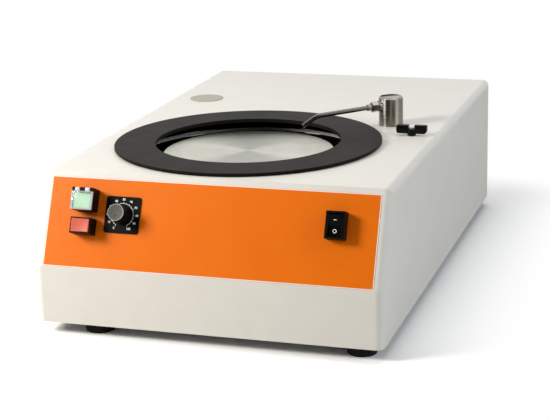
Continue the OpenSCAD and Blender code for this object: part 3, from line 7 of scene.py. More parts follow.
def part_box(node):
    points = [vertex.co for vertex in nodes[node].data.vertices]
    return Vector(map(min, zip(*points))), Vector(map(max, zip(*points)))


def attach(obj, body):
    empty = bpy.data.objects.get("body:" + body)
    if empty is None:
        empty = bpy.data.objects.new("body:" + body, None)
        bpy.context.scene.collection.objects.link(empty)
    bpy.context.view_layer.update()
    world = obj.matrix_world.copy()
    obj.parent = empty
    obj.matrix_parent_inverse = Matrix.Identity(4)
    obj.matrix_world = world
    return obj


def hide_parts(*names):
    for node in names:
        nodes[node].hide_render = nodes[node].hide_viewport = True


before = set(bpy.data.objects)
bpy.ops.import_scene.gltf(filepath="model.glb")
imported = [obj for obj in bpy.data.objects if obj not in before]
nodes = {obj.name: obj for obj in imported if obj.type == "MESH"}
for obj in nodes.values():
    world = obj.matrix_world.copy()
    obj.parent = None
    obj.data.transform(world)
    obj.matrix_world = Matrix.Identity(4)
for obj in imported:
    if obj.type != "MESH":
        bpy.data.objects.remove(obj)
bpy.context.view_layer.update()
bpy.ops.object.select_all(action="DESELECT")
print("frame loaded with", len(nodes), "nodes")


def mm(length):
    return length / 1000


def perMetre(sizeMm):
    # the scale of a pattern from its real size
    return 1000 / sizeMm


def srgb(code):
    # hex colour as a designer writes it, turned linear for the shader
    parts = [int(code[i:i + 2], 16) / 255 for i in (1, 3, 5)]
    linear = [p / 12.92 if p <= 0.04045 else ((p + 0.055) / 1.055) ** 2.4 for p in parts]
    return (*linear, 1.0)


def toned(code, share):
    # a hex colour made darker or lighter by a share of its linear value
    r, g, b, a = srgb(code)
    return (r * share, g * share, b * share, a)


def addNode(tree, kind, settings={}, feeds={}):
    node = tree.nodes.new(kind)
    for name, value in settings.items():
        setattr(node, name, value)
    for name, value in feeds.items():
        if isinstance(value, bpy.types.NodeSocket):
            tree.links.new(value, node.inputs[name])
        else:
            node.inputs[name].default_value = value
    return node


def startMaterial(name, shaderValues):
    material = bpy.data.materials.new(name)
    material.use_nodes = True
    tree = material.node_tree
    tree.nodes.clear()
    shader = addNode(tree, "ShaderNodeBsdfPrincipled", {}, shaderValues)
    addNode(tree, "ShaderNodeOutputMaterial", {}, {"Surface": shader.outputs[0]})
    place = addNode(tree, "ShaderNodeTexCoord").outputs["Object"]
    return material, tree, shader, place


def dress(material, *names):
    for name in names:
        for slot in nodes[name].material_slots:
            slot.material = material


def selectOnly(piece):
    bpy.ops.object.select_all(action="DESELECT")
    piece.select_set(True)
    bpy.context.view_layer.objects.active = piece


# The camera stands where the photograph was taken from
cameraView = {"place": (0.5672, -1.8251, 0.6148), "yaw": 0.3131, "pitch": 0.2814, "roll": -0.0271,
              "lens": 101.87, "sensor": 36, "reach": 20}


def makeCamera(v):
    yaw, pitch, roll = v["yaw"], v["pitch"], v["roll"]
    ahead = Vector((-math.sin(yaw) * math.cos(pitch), math.cos(yaw) * math.cos(pitch), -math.sin(pitch)))
    right = Vector((math.cos(yaw), math.sin(yaw), 0))
    up = right.cross(ahead)
    right, up = right * math.cos(roll) + up * math.sin(roll), up * math.cos(roll) - right * math.sin(roll)
    turn = Matrix((right, up, -ahead)).transposed().to_4x4()
    bpy.ops.object.camera_add()
    camera = bpy.context.object
    camera.name = "camera"
    camera.matrix_world = Matrix.Translation(v["place"]) @ turn
    camera.data.sensor_width = v["sensor"]
    camera.data.lens = v["lens"]
    camera.data.clip_end = v["reach"]
    bpy.context.scene.camera = camera


makeCamera(cameraView)
print("camera placed")

# Places shared by the pieces, read from the frame
platenLow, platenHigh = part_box("platen")
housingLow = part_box("housing_shell")[0]
wheelCentre = ((platenLow.x + platenHigh.x) / 2, (platenLow.y + platenHigh.y) / 2)

# The sloping front: x to the right, v up the slope, out from it
slope = {"back": 45.5, "rise": 99.5, "foot": 79.5}
slopeLean = math.atan(slope["back"] / slope["rise"])
slopeAcross = Vector((1, 0, 0))
slopeUp = Vector((0, math.sin(slopeLean), math.cos(slopeLean)))
slopeOut = Vector((0, -math.cos(slopeLean), math.sin(slopeLean)))
slopeStart = Vector((0, housingLow.y, mm(slope["foot"])))
slopeTurn = Matrix((slopeAcross, slopeUp, slopeOut)).transposed().to_4x4()


def layOnSlope(piece, x, v, out):
    # a piece drawn flat on the ground plane is laid on the slope, and its place goes into its mesh
    centre = slopeStart + slopeAcross * mm(x) + slopeUp * mm(v) + slopeOut * mm(out)
    piece.matrix_world = Matrix.Translation(centre) @ slopeTurn @ piece.matrix_world
    selectOnly(piece)
    bpy.ops.object.transform_apply(location=True, rotation=True, scale=True)


# Gel coat on moulded glass fibre: a warm off-white with a soft gloss and a very fine ripple
gelCoatLook = {"pale": "#E2E0DA", "deep": "#DBD9D2", "roughness": 0.4, "gloss": 0.4, "speckMm": 30,
               "speckDetail": 3.0, "rippleMm": 4, "rippleDetail": 1.0, "ripple": 0.12, "rippleDeepMm": 0.05}


def makeGelCoat(v):
    surface = {"Roughness": v["roughness"], "Specular IOR Level": v["gloss"]}
    material, tree, shader, place = startMaterial("housingGelCoat", surface)
    speck = addNode(tree, "ShaderNodeTexNoise", {},
                    {"Vector": place, "Scale": perMetre(v["speckMm"]), "Detail": v["speckDetail"]})
    tint = addNode(tree, "ShaderNodeMix", {"data_type": "RGBA"},
                   {0: speck.outputs[0], 6: srgb(v["pale"]), 7: srgb(v["deep"])})
    tree.links.new(tint.outputs[2], shader.inputs["Base Color"])
    ripple = addNode(tree, "ShaderNodeTexNoise", {},
                     {"Vector": place, "Scale": perMetre(v["rippleMm"]), "Detail": v["rippleDetail"]})
    bump = addNode(tree, "ShaderNodeBump", {},
                   {"Height": ripple.outputs[0], "Strength": v["ripple"], "Distance": mm(v["rippleDeepMm"])})
    tree.links.new(bump.outputs[0], shader.inputs["Normal"])
    return material


dress(makeGelCoat(gelCoatLook), "housing_shell")

# Printed polyester overlay: strong orange under a satin film with a fine grain
overlayLook = {"orange": "#E87200", "deep": "#E26A00", "roughness": 0.5, "gloss": 0.02, "film": 0.38,
               "filmRoughness": 0.37, "cloudMm": 40, "cloudDetail": 2.0, "grainMm": 0.6, "grainDetail": 0.0,
               "grain": 0.15, "grainDeepMm": 0.02}


def makeOverlay(v):
    surface = {"Roughness": v["roughness"], "Specular IOR Level": v["gloss"], "Coat Weight": v["film"],
               "Coat Roughness": v["filmRoughness"]}
    material, tree, shader, place = startMaterial("orangeOverlayFilm", surface)
    cloud = addNode(tree, "ShaderNodeTexNoise", {},
                    {"Vector": place, "Scale": perMetre(v["cloudMm"]), "Detail": v["cloudDetail"]})
    tint = addNode(tree, "ShaderNodeMix", {"data_type": "RGBA"},
                   {0: cloud.outputs[0], 6: srgb(v["orange"]), 7: srgb(v["deep"])})
    tree.links.new(tint.outputs[2], shader.inputs["Base Color"])
    grain = addNode(tree, "ShaderNodeTexNoise", {},
                    {"Vector": place, "Scale": perMetre(v["grainMm"]), "Detail": v["grainDetail"]})
    bump = addNode(tree, "ShaderNodeBump", {},
                   {"Height": grain.outputs[0], "Strength": v["grain"], "Distance": mm(v["grainDeepMm"])})
    tree.links.new(bump.outputs[0], shader.inputs["Normal"])
    return material


dress(makeOverlay(overlayLook), "front_decal")

# Plastics and rubbers: (colour, roughness, grain in mm, grain strength, gloss level)
# The blacks have less gloss than the real plastics, because the reflections of this white room lift them
plasticLooks = {
    "ringSatinBlack": ("#181612", 0.46, 1.2, 0.12, 0.04),  # moulded ring: satin, with a fine grain
    "controlBlack": ("#050505", 0.4, 0.8, 0.15, 0.1),  # moulded bodies of the controls: even black
    "dialPlateBlack": ("#060606", 0.5, 0.7, 0.1, 0.08),  # printed plate: flat black
    "knobBlack": ("#070707", 0.4, 0.8, 0.1, 0.1),  # moulded knob: smooth black
    "knobCapGrey": ("#5A5A55", 0.5, 0.8, 0.1, 0.1),  # moulded cap: plain mid grey
    "knobRimGrey": ("#A9A9A4", 0.42, 0.8, 0.1, 0.3),  # the cap's raised rim: pale and shinier
    "rockerBlack": ("#070707", 0.28, 1.0, 0.06, 0.16),  # moulded paddle: smooth and glossy
    "handleBlack": ("#060606", 0.3, 1.0, 0.1, 0.14),  # moulded handle: glossy black
    "plugGrey": ("#A8A296", 0.5, 0.9, 0.15, 0.4),  # moulded hole plug: warm grey
    "drainHoseGrey": ("#55585A", 0.4, 2.0, 0.1, 0.4),  # extruded hose: dull grey
    "waterHoseClear": ("#B9CACC", 0.25, 2.0, 0.08, 0.5),  # extruded tube: pale, drawn opaque
    "wireBlack": ("#222325", 0.5, 1.0, 0.1, 0.4),  # wire sleeves: dark and matt
    "boardGreen": ("#2C6B45", 0.4, 1.5, 0.08, 0.5),  # coated board: half gloss green
    "footRubber": ("#141413", 0.8, 1.0, 0.35, 0.2),  # moulded rubber: matt and grainy
    "sealRubber": ("#26282A", 0.75, 1.0, 0.3, 0.3),  # sheet and lip rubber: matt dark grey
}
plasticWear = {"cloud": 18, "cloudDetail": 3.0, "grainDetail": 1.0, "tint": 0.1, "rub": 0.12,
               "grainDeepMm": 0.03}


def makePlastic(name, colour, roughness, grainMm, strength, gloss):
    v = plasticWear
    material, tree, shader, place = startMaterial(name, {"Specular IOR Level": gloss})
    cloud = addNode(tree, "ShaderNodeTexNoise", {},
                    {"Vector": place, "Scale": perMetre(grainMm * v["cloud"]), "Detail": v["cloudDetail"]})
    tint = addNode(tree, "ShaderNodeMix", {"data_type": "RGBA"},
                   {0: cloud.outputs[0], 6: toned(colour, 1 - v["tint"]), 7: toned(colour, 1 + v["tint"])})
    tree.links.new(tint.outputs[2], shader.inputs["Base Color"])
    smooth, rough = roughness * (1 - v["rub"]), roughness * (1 + v["rub"])
    rub = addNode(tree, "ShaderNodeMapRange", {},
                  {"Value": cloud.outputs[0], "To Min": smooth, "To Max": rough})
    tree.links.new(rub.outputs[0], shader.inputs["Roughness"])
    grain = addNode(tree, "ShaderNodeTexNoise", {},
                    {"Vector": place, "Scale": perMetre(grainMm), "Detail": v["grainDetail"]})
    bump = addNode(tree, "ShaderNodeBump", {},
                   {"Height": grain.outputs[0], "Strength": strength, "Distance": mm(v["grainDeepMm"])})
    tree.links.new(bump.outputs[0], shader.inputs["Normal"])
    return material


plastics = {name: makePlastic(name, *look) for name, look in plasticLooks.items()}
dress(plastics["ringSatinBlack"], "splash_ring")
dress(plastics["controlBlack"], "start_button_body", "stop_button_body", "power_switch_body", "mains_inlet",
      "fuse_drawer", "drain_spigot")
dress(plastics["dialPlateBlack"], "dial_plate")
dress(plastics["knobBlack"], "speed_knob")
dress(plastics["knobCapGrey"], "knob_cap")
dress(plastics["rockerBlack"], "power_rocker")
dress(plastics["handleBlack"], "valve_handle")
dress(plastics["plugGrey"], "hole_plug")
dress(plastics["drainHoseGrey"], "drain_hose")
dress(plastics["waterHoseClear"], "water_hoses")
dress(plastics["wireBlack"], "wiring_loom")
dress(plastics["boardGreen"], "control_board")
dress(plastics["footRubber"], "foot_front_left", "foot_front_right", "foot_rear_left", "foot_rear_right",
      "drive_belt")
dress(plastics["sealRubber"], "bowl_gasket", "spindle_seal")

# Gloss black lining of the bowl, with dried water marks that dull it
# A pale band on its shoulder is painted highlight: it stands in for the bright line of reflected light along
# that shoulder. Pale residue on its shoulder stands in for the bright line in the photograph, whose cause
# isn't known
bowlLook = {"black": "#070707", "gloss": 0.45, "marksMm": 14, "marksDetail": 4.0, "marks": (0.45, 0.75),
            "roughness": (0.07, 0.22), "ledgeHighlight": "#C9C6BF", "ledge": 163.6, "ledgeBand": 1.0}


def makeBowlGloss(v):
    material, tree, shader, place = startMaterial("bowlGlossBlack", {"Specular IOR Level": v["gloss"]})
    marks = addNode(tree, "ShaderNodeTexNoise", {},
                    {"Vector": place, "Scale": perMetre(v["marksMm"]), "Detail": v["marksDetail"]})
    dull = addNode(tree, "ShaderNodeMapRange", {},
                   {"Value": marks.outputs[0], "From Min": v["marks"][0], "From Max": v["marks"][1],
                    "To Min": v["roughness"][0], "To Max": v["roughness"][1]})
    tree.links.new(dull.outputs[0], shader.inputs["Roughness"])
    height = addNode(tree, "ShaderNodeSeparateXYZ", {}, {"Vector": place})
    # painted highlight: the band at the shoulder's height is coloured pale, where the lights would glint
    onLedge = addNode(tree, "ShaderNodeMath", {"operation": "COMPARE"},
                      {0: height.outputs["Z"], 1: mm(v["ledge"]), 2: mm(v["ledgeBand"])})
    tint = addNode(tree, "ShaderNodeMix", {"data_type": "RGBA"},
                   {0: onLedge.outputs[0], 6: srgb(v["black"]), 7: srgb(v["ledgeHighlight"])})
    tree.links.new(tint.outputs[2], shader.inputs["Base Color"])
    return material


dress(makeBowlGloss(bowlLook), "bowl")

# Turned aluminium of the wheel: concentric tool marks that spread the light into soft lobes
platenLook = {"pale": "#BABAB1", "dark": "#A3A39B", "spread": 0.75, "grooveMm": 0.9, "grooveDetail": 2.0,
              "bandMm": 22, "bandDetail": 3.0, "roughness": (0.34, 0.5), "groove": 0.1, "grooveDeepMm": 0.02}


def makeTurnedAluminium(v):
    surface = {"Metallic": 1.0, "Anisotropic": v["spread"]}
    material, tree, shader, place = startMaterial("turnedAluminium", surface)
    centred = addNode(tree, "ShaderNodeMapping", {},
                      {"Vector": place, "Location": (-wheelCentre[0], -wheelCentre[1], 0)})
    axis = addNode(tree, "ShaderNodeVectorMath", {"operation": "CROSS_PRODUCT"},
                   {0: (0, 0, 1), 1: centred.outputs[0]})
    around = addNode(tree, "ShaderNodeVectorMath", {"operation": "NORMALIZE"}, {0: axis.outputs[0]})
    tree.links.new(around.outputs[0], shader.inputs["Tangent"])
    flat = addNode(tree, "ShaderNodeVectorMath", {"operation": "MULTIPLY"},
                   {0: centred.outputs[0], 1: (1, 1, 0)})
    radius = addNode(tree, "ShaderNodeVectorMath", {"operation": "LENGTH"}, {0: flat.outputs[0]})
    away = radius.outputs["Value"]
    grooves = addNode(tree, "ShaderNodeTexNoise", {"noise_dimensions": "1D"},
                      {"W": away, "Scale": perMetre(v["grooveMm"]), "Detail": v["grooveDetail"]})
    bands = addNode(tree, "ShaderNodeTexNoise", {"noise_dimensions": "1D"},
                    {"W": away, "Scale": perMetre(v["bandMm"]), "Detail": v["bandDetail"]})
    tint = addNode(tree, "ShaderNodeMix", {"data_type": "RGBA"},
                   {0: bands.outputs[0], 6: srgb(v["pale"]), 7: srgb(v["dark"])})
    tree.links.new(tint.outputs[2], shader.inputs["Base Color"])
    rub = addNode(tree, "ShaderNodeMapRange", {},
                  {"Value": grooves.outputs[0], "To Min": v["roughness"][0], "To Max": v["roughness"][1]})
    tree.links.new(rub.outputs[0], shader.inputs["Roughness"])
    bump = addNode(tree, "ShaderNodeBump", {},
                   {"Height": grooves.outputs[0], "Strength": v["groove"], "Distance": mm(v["grooveDeepMm"])})
    tree.links.new(bump.outputs[0], shader.inputs["Normal"])
    return material


dress(makeTurnedAluminium(platenLook), "platen", "drive_plate")

# Metals: (colour, roughness, streak length and width in mm, upright stretch of highlights)
# The three kinds of stainless are kept darker than the real metal, to match the photograph
metalLooks = {
    "polishedStainless": ("#958F86", 0.24, 12, 0.5, 0.95),  # turned and polished: tall soft highlights
    "fittingStainless": ("#7F7A71", 0.17, 6, 0.4, 0.2),  # machined fitting: small bright highlights
    "drawnTubeStainless": ("#625E57", 0.17, 25, 0.4, 0.0),  # drawn tube: long fine streaks
    "zincPlated": ("#BFC1C4", 0.32, 4, 0.6, 0.0),  # plated steel: soft grey shine
    "groundSteel": ("#C4C6C8", 0.24, 20, 0.3, 0.0),  # ground steel: fine bright streaks
    "machinedAluminium": ("#B9BBBD", 0.35, 14, 0.5, 0.0),  # machined: satin with tool marks
    "dieCastAluminium": ("#A6A8AA", 0.5, 3, 2.5, 0.0),  # die cast: dull and mottled
    "machinedBrass": ("#C8A460", 0.28, 8, 0.4, 0.0),  # machined: warm yellow shine
    "nickelPlated": ("#B5B3AD", 0.2, 6, 0.4, 0.0),  # plated brass: warm bright grey
    "laminatedSteel": ("#8C7468", 0.4, 30, 0.5, 0.0),  # stacked sheets: dull brownish grey
}
metalWear = {"tint": 0.9, "streakDetail": 3.0, "rub": (0.8, 1.25)}


def makeMetal(name, colour, roughness, streakMm, widthMm, stretch):
    v = metalWear
    material, tree, shader, place = startMaterial(name, {"Metallic": 1.0, "Anisotropic": stretch})
    upright = addNode(tree, "ShaderNodeCombineXYZ", {}, {"Z": 1.0})
    tree.links.new(upright.outputs[0], shader.inputs["Tangent"])
    along, across = perMetre(streakMm), perMetre(widthMm)
    stretched = addNode(tree, "ShaderNodeMapping", {}, {"Vector": place, "Scale": (along, across, across)})
    streaks = addNode(tree, "ShaderNodeTexNoise", {},
                      {"Vector": stretched.outputs[0], "Scale": 1.0, "Detail": v["streakDetail"]})
    tint = addNode(tree, "ShaderNodeMix", {"data_type": "RGBA"},
                   {0: streaks.outputs[0], 6: toned(colour, v["tint"]), 7: srgb(colour)})
    tree.links.new(tint.outputs[2], shader.inputs["Base Color"])
    smooth, rough = [roughness * share for share in v["rub"]]
    rub = addNode(tree, "ShaderNodeMapRange", {},
                  {"Value": streaks.outputs[0], "To Min": smooth, "To Max": rough})
    tree.links.new(rub.outputs[0], shader.inputs["Roughness"])
    return material


metals = {name: makeMetal(name, *look) for name, look in metalLooks.items()}
dress(metals["polishedStainless"], "water_post")
dress(metals["fittingStainless"], "nozzle_fitting")
dress(metals["drawnTubeStainless"], "nozzle_tube")
dress(metals["zincPlated"], "m4_screws", "m6_bolts", "m10_nuts", "m16_nuts", "spindle_fasteners",
      "valve_stem", "speed_pot_body", "pot_shaft")
dress(metals["groundSteel"], "spindle", "drive_pins", "bearing_outer_rings", "bearing_inner_rings",
      "bearing_balls")
dress(metals["machinedAluminium"], "driven_pulley", "motor_pulley")
dress(metals["dieCastAluminium"], "motor_end_bells")
dress(metals["machinedBrass"], "water_inlet_barb", "post_stem")
dress(metals["nickelPlated"], "water_valve")
dress(metals["laminatedSteel"], "motor_armature")

# Coated sheet and castings: (colour, roughness, texture in mm, texture strength, gloss level)
paintLooks = {
    "rearPanelPowder": ("#D8D6CF", 0.5, 0.8, 0.35, 0.4),  # powder coat: fine orange peel
    "basePlateZinc": ("#9A9C9D", 0.45, 6.0, 0.1, 0.5),  # zinc coated sheet: soft spangle
    "bridgePaint": ("#7C8084", 0.45, 1.0, 0.3, 0.5),  # sprayed paint: even grey
    "motorPaint": ("#4E5256", 0.4, 1.0, 0.25, 0.5),  # sprayed paint: dark grey
    "spindleCasting": ("#70757A", 0.6, 1.6, 0.5, 0.4),  # painted sand casting: rough grey
}
paints = {name: makePlastic(name, *look) for name, look in paintLooks.items()}
dress(paints["rearPanelPowder"], "rear_panel")
dress(paints["basePlateZinc"], "base_plate")
dress(paints["bridgePaint"], "chassis_bridge")
dress(paints["motorPaint"], "motor_can")
dress(paints["spindleCasting"], "spindle_housing")

# Lenses of the push buttons: moulded translucent plastic that glows softly at its edges
lensColours = {"startLensGreen": "#D8F4D2", "stopLensRed": "#DF6149"}
lensLook = {"roughness": 0.4, "gloss": 0.35, "glow": 0.35, "glowMm": 3, "cloudMm": 6, "cloudDetail": 2.0,
            "tint": 0.92}


def makeLens(name, colour, v):
    surface = {"Roughness": v["roughness"], "Specular IOR Level": v["gloss"], "Subsurface Weight": v["glow"],
               "Subsurface Scale": mm(v["glowMm"])}
    material, tree, shader, place = startMaterial(name, surface)
    cloud = addNode(tree, "ShaderNodeTexNoise", {},
                    {"Vector": place, "Scale": perMetre(v["cloudMm"]), "Detail": v["cloudDetail"]})
    tint = addNode(tree, "ShaderNodeMix", {"data_type": "RGBA"},
                   {0: cloud.outputs[0], 6: toned(colour, v["tint"]), 7: srgb(colour)})
    tree.links.new(tint.outputs[2], shader.inputs["Base Color"])
    return material


lenses = {name: makeLens(name, colour, lensLook) for name, colour in lensColours.items()}
dress(lenses["startLensGreen"], "start_cap")
dress(lenses["stopLensRed"], "stop_cap")

# Clear polycarbonate of the hinged guard, milky along its moulded edges: (colour, clearness)
# Its index of 1.2 is lower than the real plastic's 1.58
guardLook = {"clear": ("#F6FAF8", 0.95), "milky": ("#EEF1F6", 0.2), "index": 1.2, "gloss": 0.3, "hazeMm": 5,
             "hazeDetail": 2.0, "roughness": (0.06, 0.14)}


def makeGuardPlastic(name, colour, clearness, v):
    surface = {"Base Color": srgb(colour), "IOR": v["index"], "Specular IOR Level": v["gloss"],
               "Transmission Weight": clearness}
    material, tree, shader, place = startMaterial(name, surface)
    haze = addNode(tree, "ShaderNodeTexNoise", {},
                   {"Vector": place, "Scale": perMetre(v["hazeMm"]), "Detail": v["hazeDetail"]})
    dull = addNode(tree, "ShaderNodeMapRange", {},
                   {"Value": haze.outputs[0], "To Min": v["roughness"][0], "To Max": v["roughness"][1]})
    tree.links.new(dull.outputs[0], shader.inputs["Roughness"])
    return material


guardClear = makeGuardPlastic("guardClear", *guardLook["clear"], guardLook)
guardMilky = makeGuardPlastic("guardMilkyEdge", *guardLook["milky"], guardLook)
print("finishes made")

# White ink of the dial, the border and the rocker: slightly uneven, as screen print is
printLook = {"white": "#F4F4F0", "roughness": 0.55, "wearMm": 3, "wearDetail": 2.0, "tint": 0.85}


def makePrint(v):
    material, tree, shader, place = startMaterial("whitePrint", {"Roughness": v["roughness"]})
    wear = addNode(tree, "ShaderNodeTexNoise", {},
                   {"Vector": place, "Scale": perMetre(v["wearMm"]), "Detail": v["wearDetail"]})
    tint = addNode(tree, "ShaderNodeMix", {"data_type": "RGBA"},
                   {0: wear.outputs[0], 6: toned(v["white"], v["tint"]), 7: srgb(v["white"])})
    tree.links.new(tint.outputs[2], shader.inputs["Base Color"])
    return material


whitePrint = makePrint(printLook)

# Print on the dial: a ring of ticks and plain numbers
dialPrint = {"x": -100.5, "v": 63, "out": 1.62, "ring": 12.9, "line": 0.45, "tick": 1.5, "smallTick": 0.9,
             "numbers": 17.3, "letter": 3.3, "weight": 0.13, "sweep": 300, "thick": 0.03, "ticks": 20,
             "top": 100, "pieces": 60, "overlap": 1.04}


def joinAll(pieces, name):
    bpy.ops.object.select_all(action="DESELECT")
    for piece in pieces:
        piece.select_set(True)
    bpy.context.view_layer.objects.active = pieces[0]
    bpy.ops.object.join()
    pieces[0].name = name
    return pieces[0]


def flatBar(length, width, thick, place, angle):
    # a short printed bar: a cube cut down to size and turned in the plane
    bpy.ops.mesh.primitive_cube_add(size=1)
    bar = bpy.context.object
    bar.scale = (mm(length), mm(width), mm(thick))
    bar.rotation_euler = (0, 0, angle)
    bar.location = (mm(place[0]), mm(place[1]), 0)
    bpy.ops.object.transform_apply(location=True, rotation=True, scale=True)
    return bar


def onCircle(radius, angle):
    return (radius * math.cos(angle), radius * math.sin(angle))


def makeNumber(v, body, angle):
    across, up = onCircle(v["numbers"], angle)
    bpy.ops.object.text_add(align="WORLD")
    number = bpy.context.object
    number.data.body = body
    number.data.size = mm(v["letter"])
    number.data.align_x = "CENTER"
    number.data.align_y = "CENTER"
    number.data.extrude = mm(v["thick"] / 2)
    number.data.offset = mm(v["weight"])
    number.location = (mm(across), mm(up), 0)
    bpy.ops.object.convert(target="MESH")
    bpy.ops.object.transform_apply(location=True, rotation=True, scale=True)
    return number


def makeDialPrint(v):
    start = 90 + v["sweep"] / 2
    parts = []
    for step in range(v["ticks"] + 1):
        angle = math.radians(start - step * v["sweep"] / v["ticks"])
        tick = v["tick"] if step % 2 == 0 else v["smallTick"]
        parts.append(flatBar(tick, v["line"], v["thick"], onCircle(v["ring"] + tick / 2, angle), angle))
        if step % 2 == 0:
            parts.append(makeNumber(v, str(step * v["top"] // v["ticks"]), angle))
    share = v["sweep"] / v["pieces"]
    length = 2 * v["ring"] * math.tan(math.radians(share / 2)) * v["overlap"]
    for i in range(v["pieces"]):
        angle = math.radians(start - (i + 0.5) * share)
        parts.append(flatBar(length, v["line"], v["thick"], onCircle(v["ring"], angle), angle + math.pi / 2))
    marks = joinAll(parts, "dialPrint")
    layOnSlope(marks, v["x"], v["v"], v["out"])
    marks.data.materials.clear()
    marks.data.materials.append(whitePrint)
    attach(marks, "chassis")


makeDialPrint(dialPrint)
print("dial print laid")


facing = 0.9  # a face looks up or down when its normal's z is past this


def facesUp(middle, way):
    return way.z > facing


def facesDown(middle, way):
    return way.z < -facing


def pickFaces(piece, test):
    # selects the faces that pass a test of their middle and direction, and leaves the piece in edit mode
    selectOnly(piece)
    bpy.ops.object.mode_set(mode="EDIT")
    bpy.ops.mesh.select_mode(type="FACE")
    bpy.ops.mesh.select_all(action="DESELECT")
    bpy.ops.object.mode_set(mode="OBJECT")
    for face in piece.data.polygons:
        face.select = test(face.center, face.normal)
    bpy.ops.object.mode_set(mode="EDIT")


def pickEdges(piece, test):
    # selects the edges that pass a test of their two ends, and leaves the piece in edit mode
    selectOnly(piece)
    bpy.ops.object.mode_set(mode="EDIT")
    bpy.ops.mesh.select_mode(type="EDGE")
    bpy.ops.mesh.select_all(action="DESELECT")
    bpy.ops.object.mode_set(mode="OBJECT")
    ends = piece.data.vertices
    for edge in piece.data.edges:
        edge.select = test(ends[edge.vertices[0]].co, ends[edge.vertices[1]].co)
    bpy.ops.object.mode_set(mode="EDIT")


def block(size, centre):
    bpy.ops.mesh.primitive_cube_add(size=1)
    piece = bpy.context.object
    piece.scale = [mm(length) for length in size]
    piece.location = [mm(length) for length in centre]
    bpy.ops.object.transform_apply(location=True, rotation=True, scale=True)
    return piece


smoothAngle = math.radians(35)


def soften(piece, width, steps):
    # rounds every sharp edge and shades the piece smooth
    selectOnly(piece)
    bpy.ops.object.modifier_add(type="BEVEL")
    bevel = piece.modifiers[-1]
    bevel.width = mm(width)
    bevel.segments = steps
    bevel.limit_method = "ANGLE"
    bpy.ops.object.modifier_apply(modifier=bevel.name)
    bpy.ops.object.shade_smooth_by_angle(angle=smoothAngle)


def drum(radius, height, base, sides):
    # an upright cylinder that stands on a point
    centre = [mm(base[0]), mm(base[1]), mm(base[2] + height / 2)]
    bpy.ops.mesh.primitive_cylinder_add(vertices=sides, radius=mm(radius), depth=mm(height), location=centre)
    bpy.ops.object.transform_apply(location=True, rotation=True, scale=True)
    return bpy.context.object


def finish(piece, material, body):
    if material:
        piece.data.materials.clear()
        piece.data.materials.append(material)
    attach(piece, body)


# Thin white border printed round the overlay
borderPrint = {"width": 379.4, "height": 101.6, "v": 52, "band": 0.9, "out": 0.42, "thick": 0.03}


def makeBorder(v):
    bpy.ops.mesh.primitive_plane_add(size=1)
    frameLine = bpy.context.object
    frameLine.name = "overlayBorder"
    frameLine.scale = (mm(v["width"]), mm(v["height"]), 1)
    bpy.ops.object.transform_apply(location=True, rotation=True, scale=True)
    pickFaces(frameLine, lambda middle, way: True)
    bpy.ops.mesh.inset(thickness=mm(v["band"]))
    bpy.ops.mesh.delete(type="FACE")
    bpy.ops.mesh.select_all(action="SELECT")
    bpy.ops.mesh.extrude_region_move(TRANSFORM_OT_translate={"value": (0, 0, mm(v["thick"]))})
    bpy.ops.mesh.select_all(action="SELECT")
    bpy.ops.mesh.normals_make_consistent(inside=False)
    bpy.ops.object.mode_set(mode="OBJECT")
    layOnSlope(frameLine, 0, v["v"], v["out"])
    finish(frameLine, whitePrint, "chassis")


makeBorder(borderPrint)

# Dished lens faces on the two push buttons: an edge is its rounding in mm and its steps
lensFaces = {
    "startLens": {"x": -143.1, "v": 74.2, "out": 17.4, "size": (20.8, 16.6, 0.7), "rim": 1.5, "dish": 0.3,
                  "edge": (0.25, 3), "body": "start_cap", "look": "startLensGreen", "slot": "lens_green"},
    "stopLens": {"x": -142.7, "v": 46.9, "out": 17.6, "size": (20.4, 14.4, 0.64), "rim": 1.3, "dish": 0.3,
                 "edge": (0.25, 3), "body": "stop_cap", "look": "stopLensRed", "slot": "lens_red"},
}


def makeLensFace(name, v):
    lens = block(v["size"], (0, 0, v["size"][2] / 2))
    lens.name = name
    pickFaces(lens, facesUp)
    bpy.ops.mesh.inset(thickness=mm(v["rim"]))
    bpy.ops.transform.translate(value=(0, 0, -mm(v["dish"])))
    bpy.ops.object.mode_set(mode="OBJECT")
    soften(lens, *v["edge"])
    layOnSlope(lens, v["x"], v["v"], v["out"])
    finish(lens, lenses[v["look"]], v["body"])


for lensName, lensValues in lensFaces.items():
    makeLensFace(lensName, lensValues)
print("lens faces made")

# Hinged guard over the start button: a thin walled tray with two lugs
guardTray = {"x": -143.1, "v": 74.2, "out": 17.7, "size": (24.4, 20.2, 4), "wall": 1.2, "edge": (0.35, 2),
             "clearIn": 0.4, "lug": (5.4, 4.0, 3.6), "lugPlace": (6, 12.1, 2), "lugEdge": (0.7, 3)}


def makeGuard(v):
    width, depth, height = v["size"]
    tray = block(v["size"], (0, 0, height / 2))
    tray.name = "guardTray"
    pickFaces(tray, facesDown)
    bpy.ops.mesh.inset(thickness=mm(v["wall"]))
    bpy.ops.mesh.extrude_region_move(TRANSFORM_OT_translate={"value": (0, 0, mm(height - v["wall"]))})
    bpy.ops.object.mode_set(mode="OBJECT")
    soften(tray, *v["edge"])
    lugs = []
    across, up, out = v["lugPlace"]
    for side in (-1, 1):
        lug = block(v["lug"], (side * across, up, out))
        soften(lug, *v["lugEdge"])
        lugs.append(lug)
    joinAll([tray] + lugs, "guardTray")
    tray.data.materials.clear()
    tray.data.materials.append(guardClear)
    tray.data.materials.append(guardMilky)
    clearX, clearY = [mm(length / 2 - v["wall"] - v["clearIn"]) for length in (width, depth)]
    for face in tray.data.polygons:
        isClear = abs(face.center.x) < clearX and abs(face.center.y) < clearY
        face.material_index = 0 if isClear else 1
    layOnSlope(tray, v["x"], v["v"], v["out"])
    finish(tray, None, "start_guard")
    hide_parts("start_guard")


makeGuard(guardTray)
print("guard made")

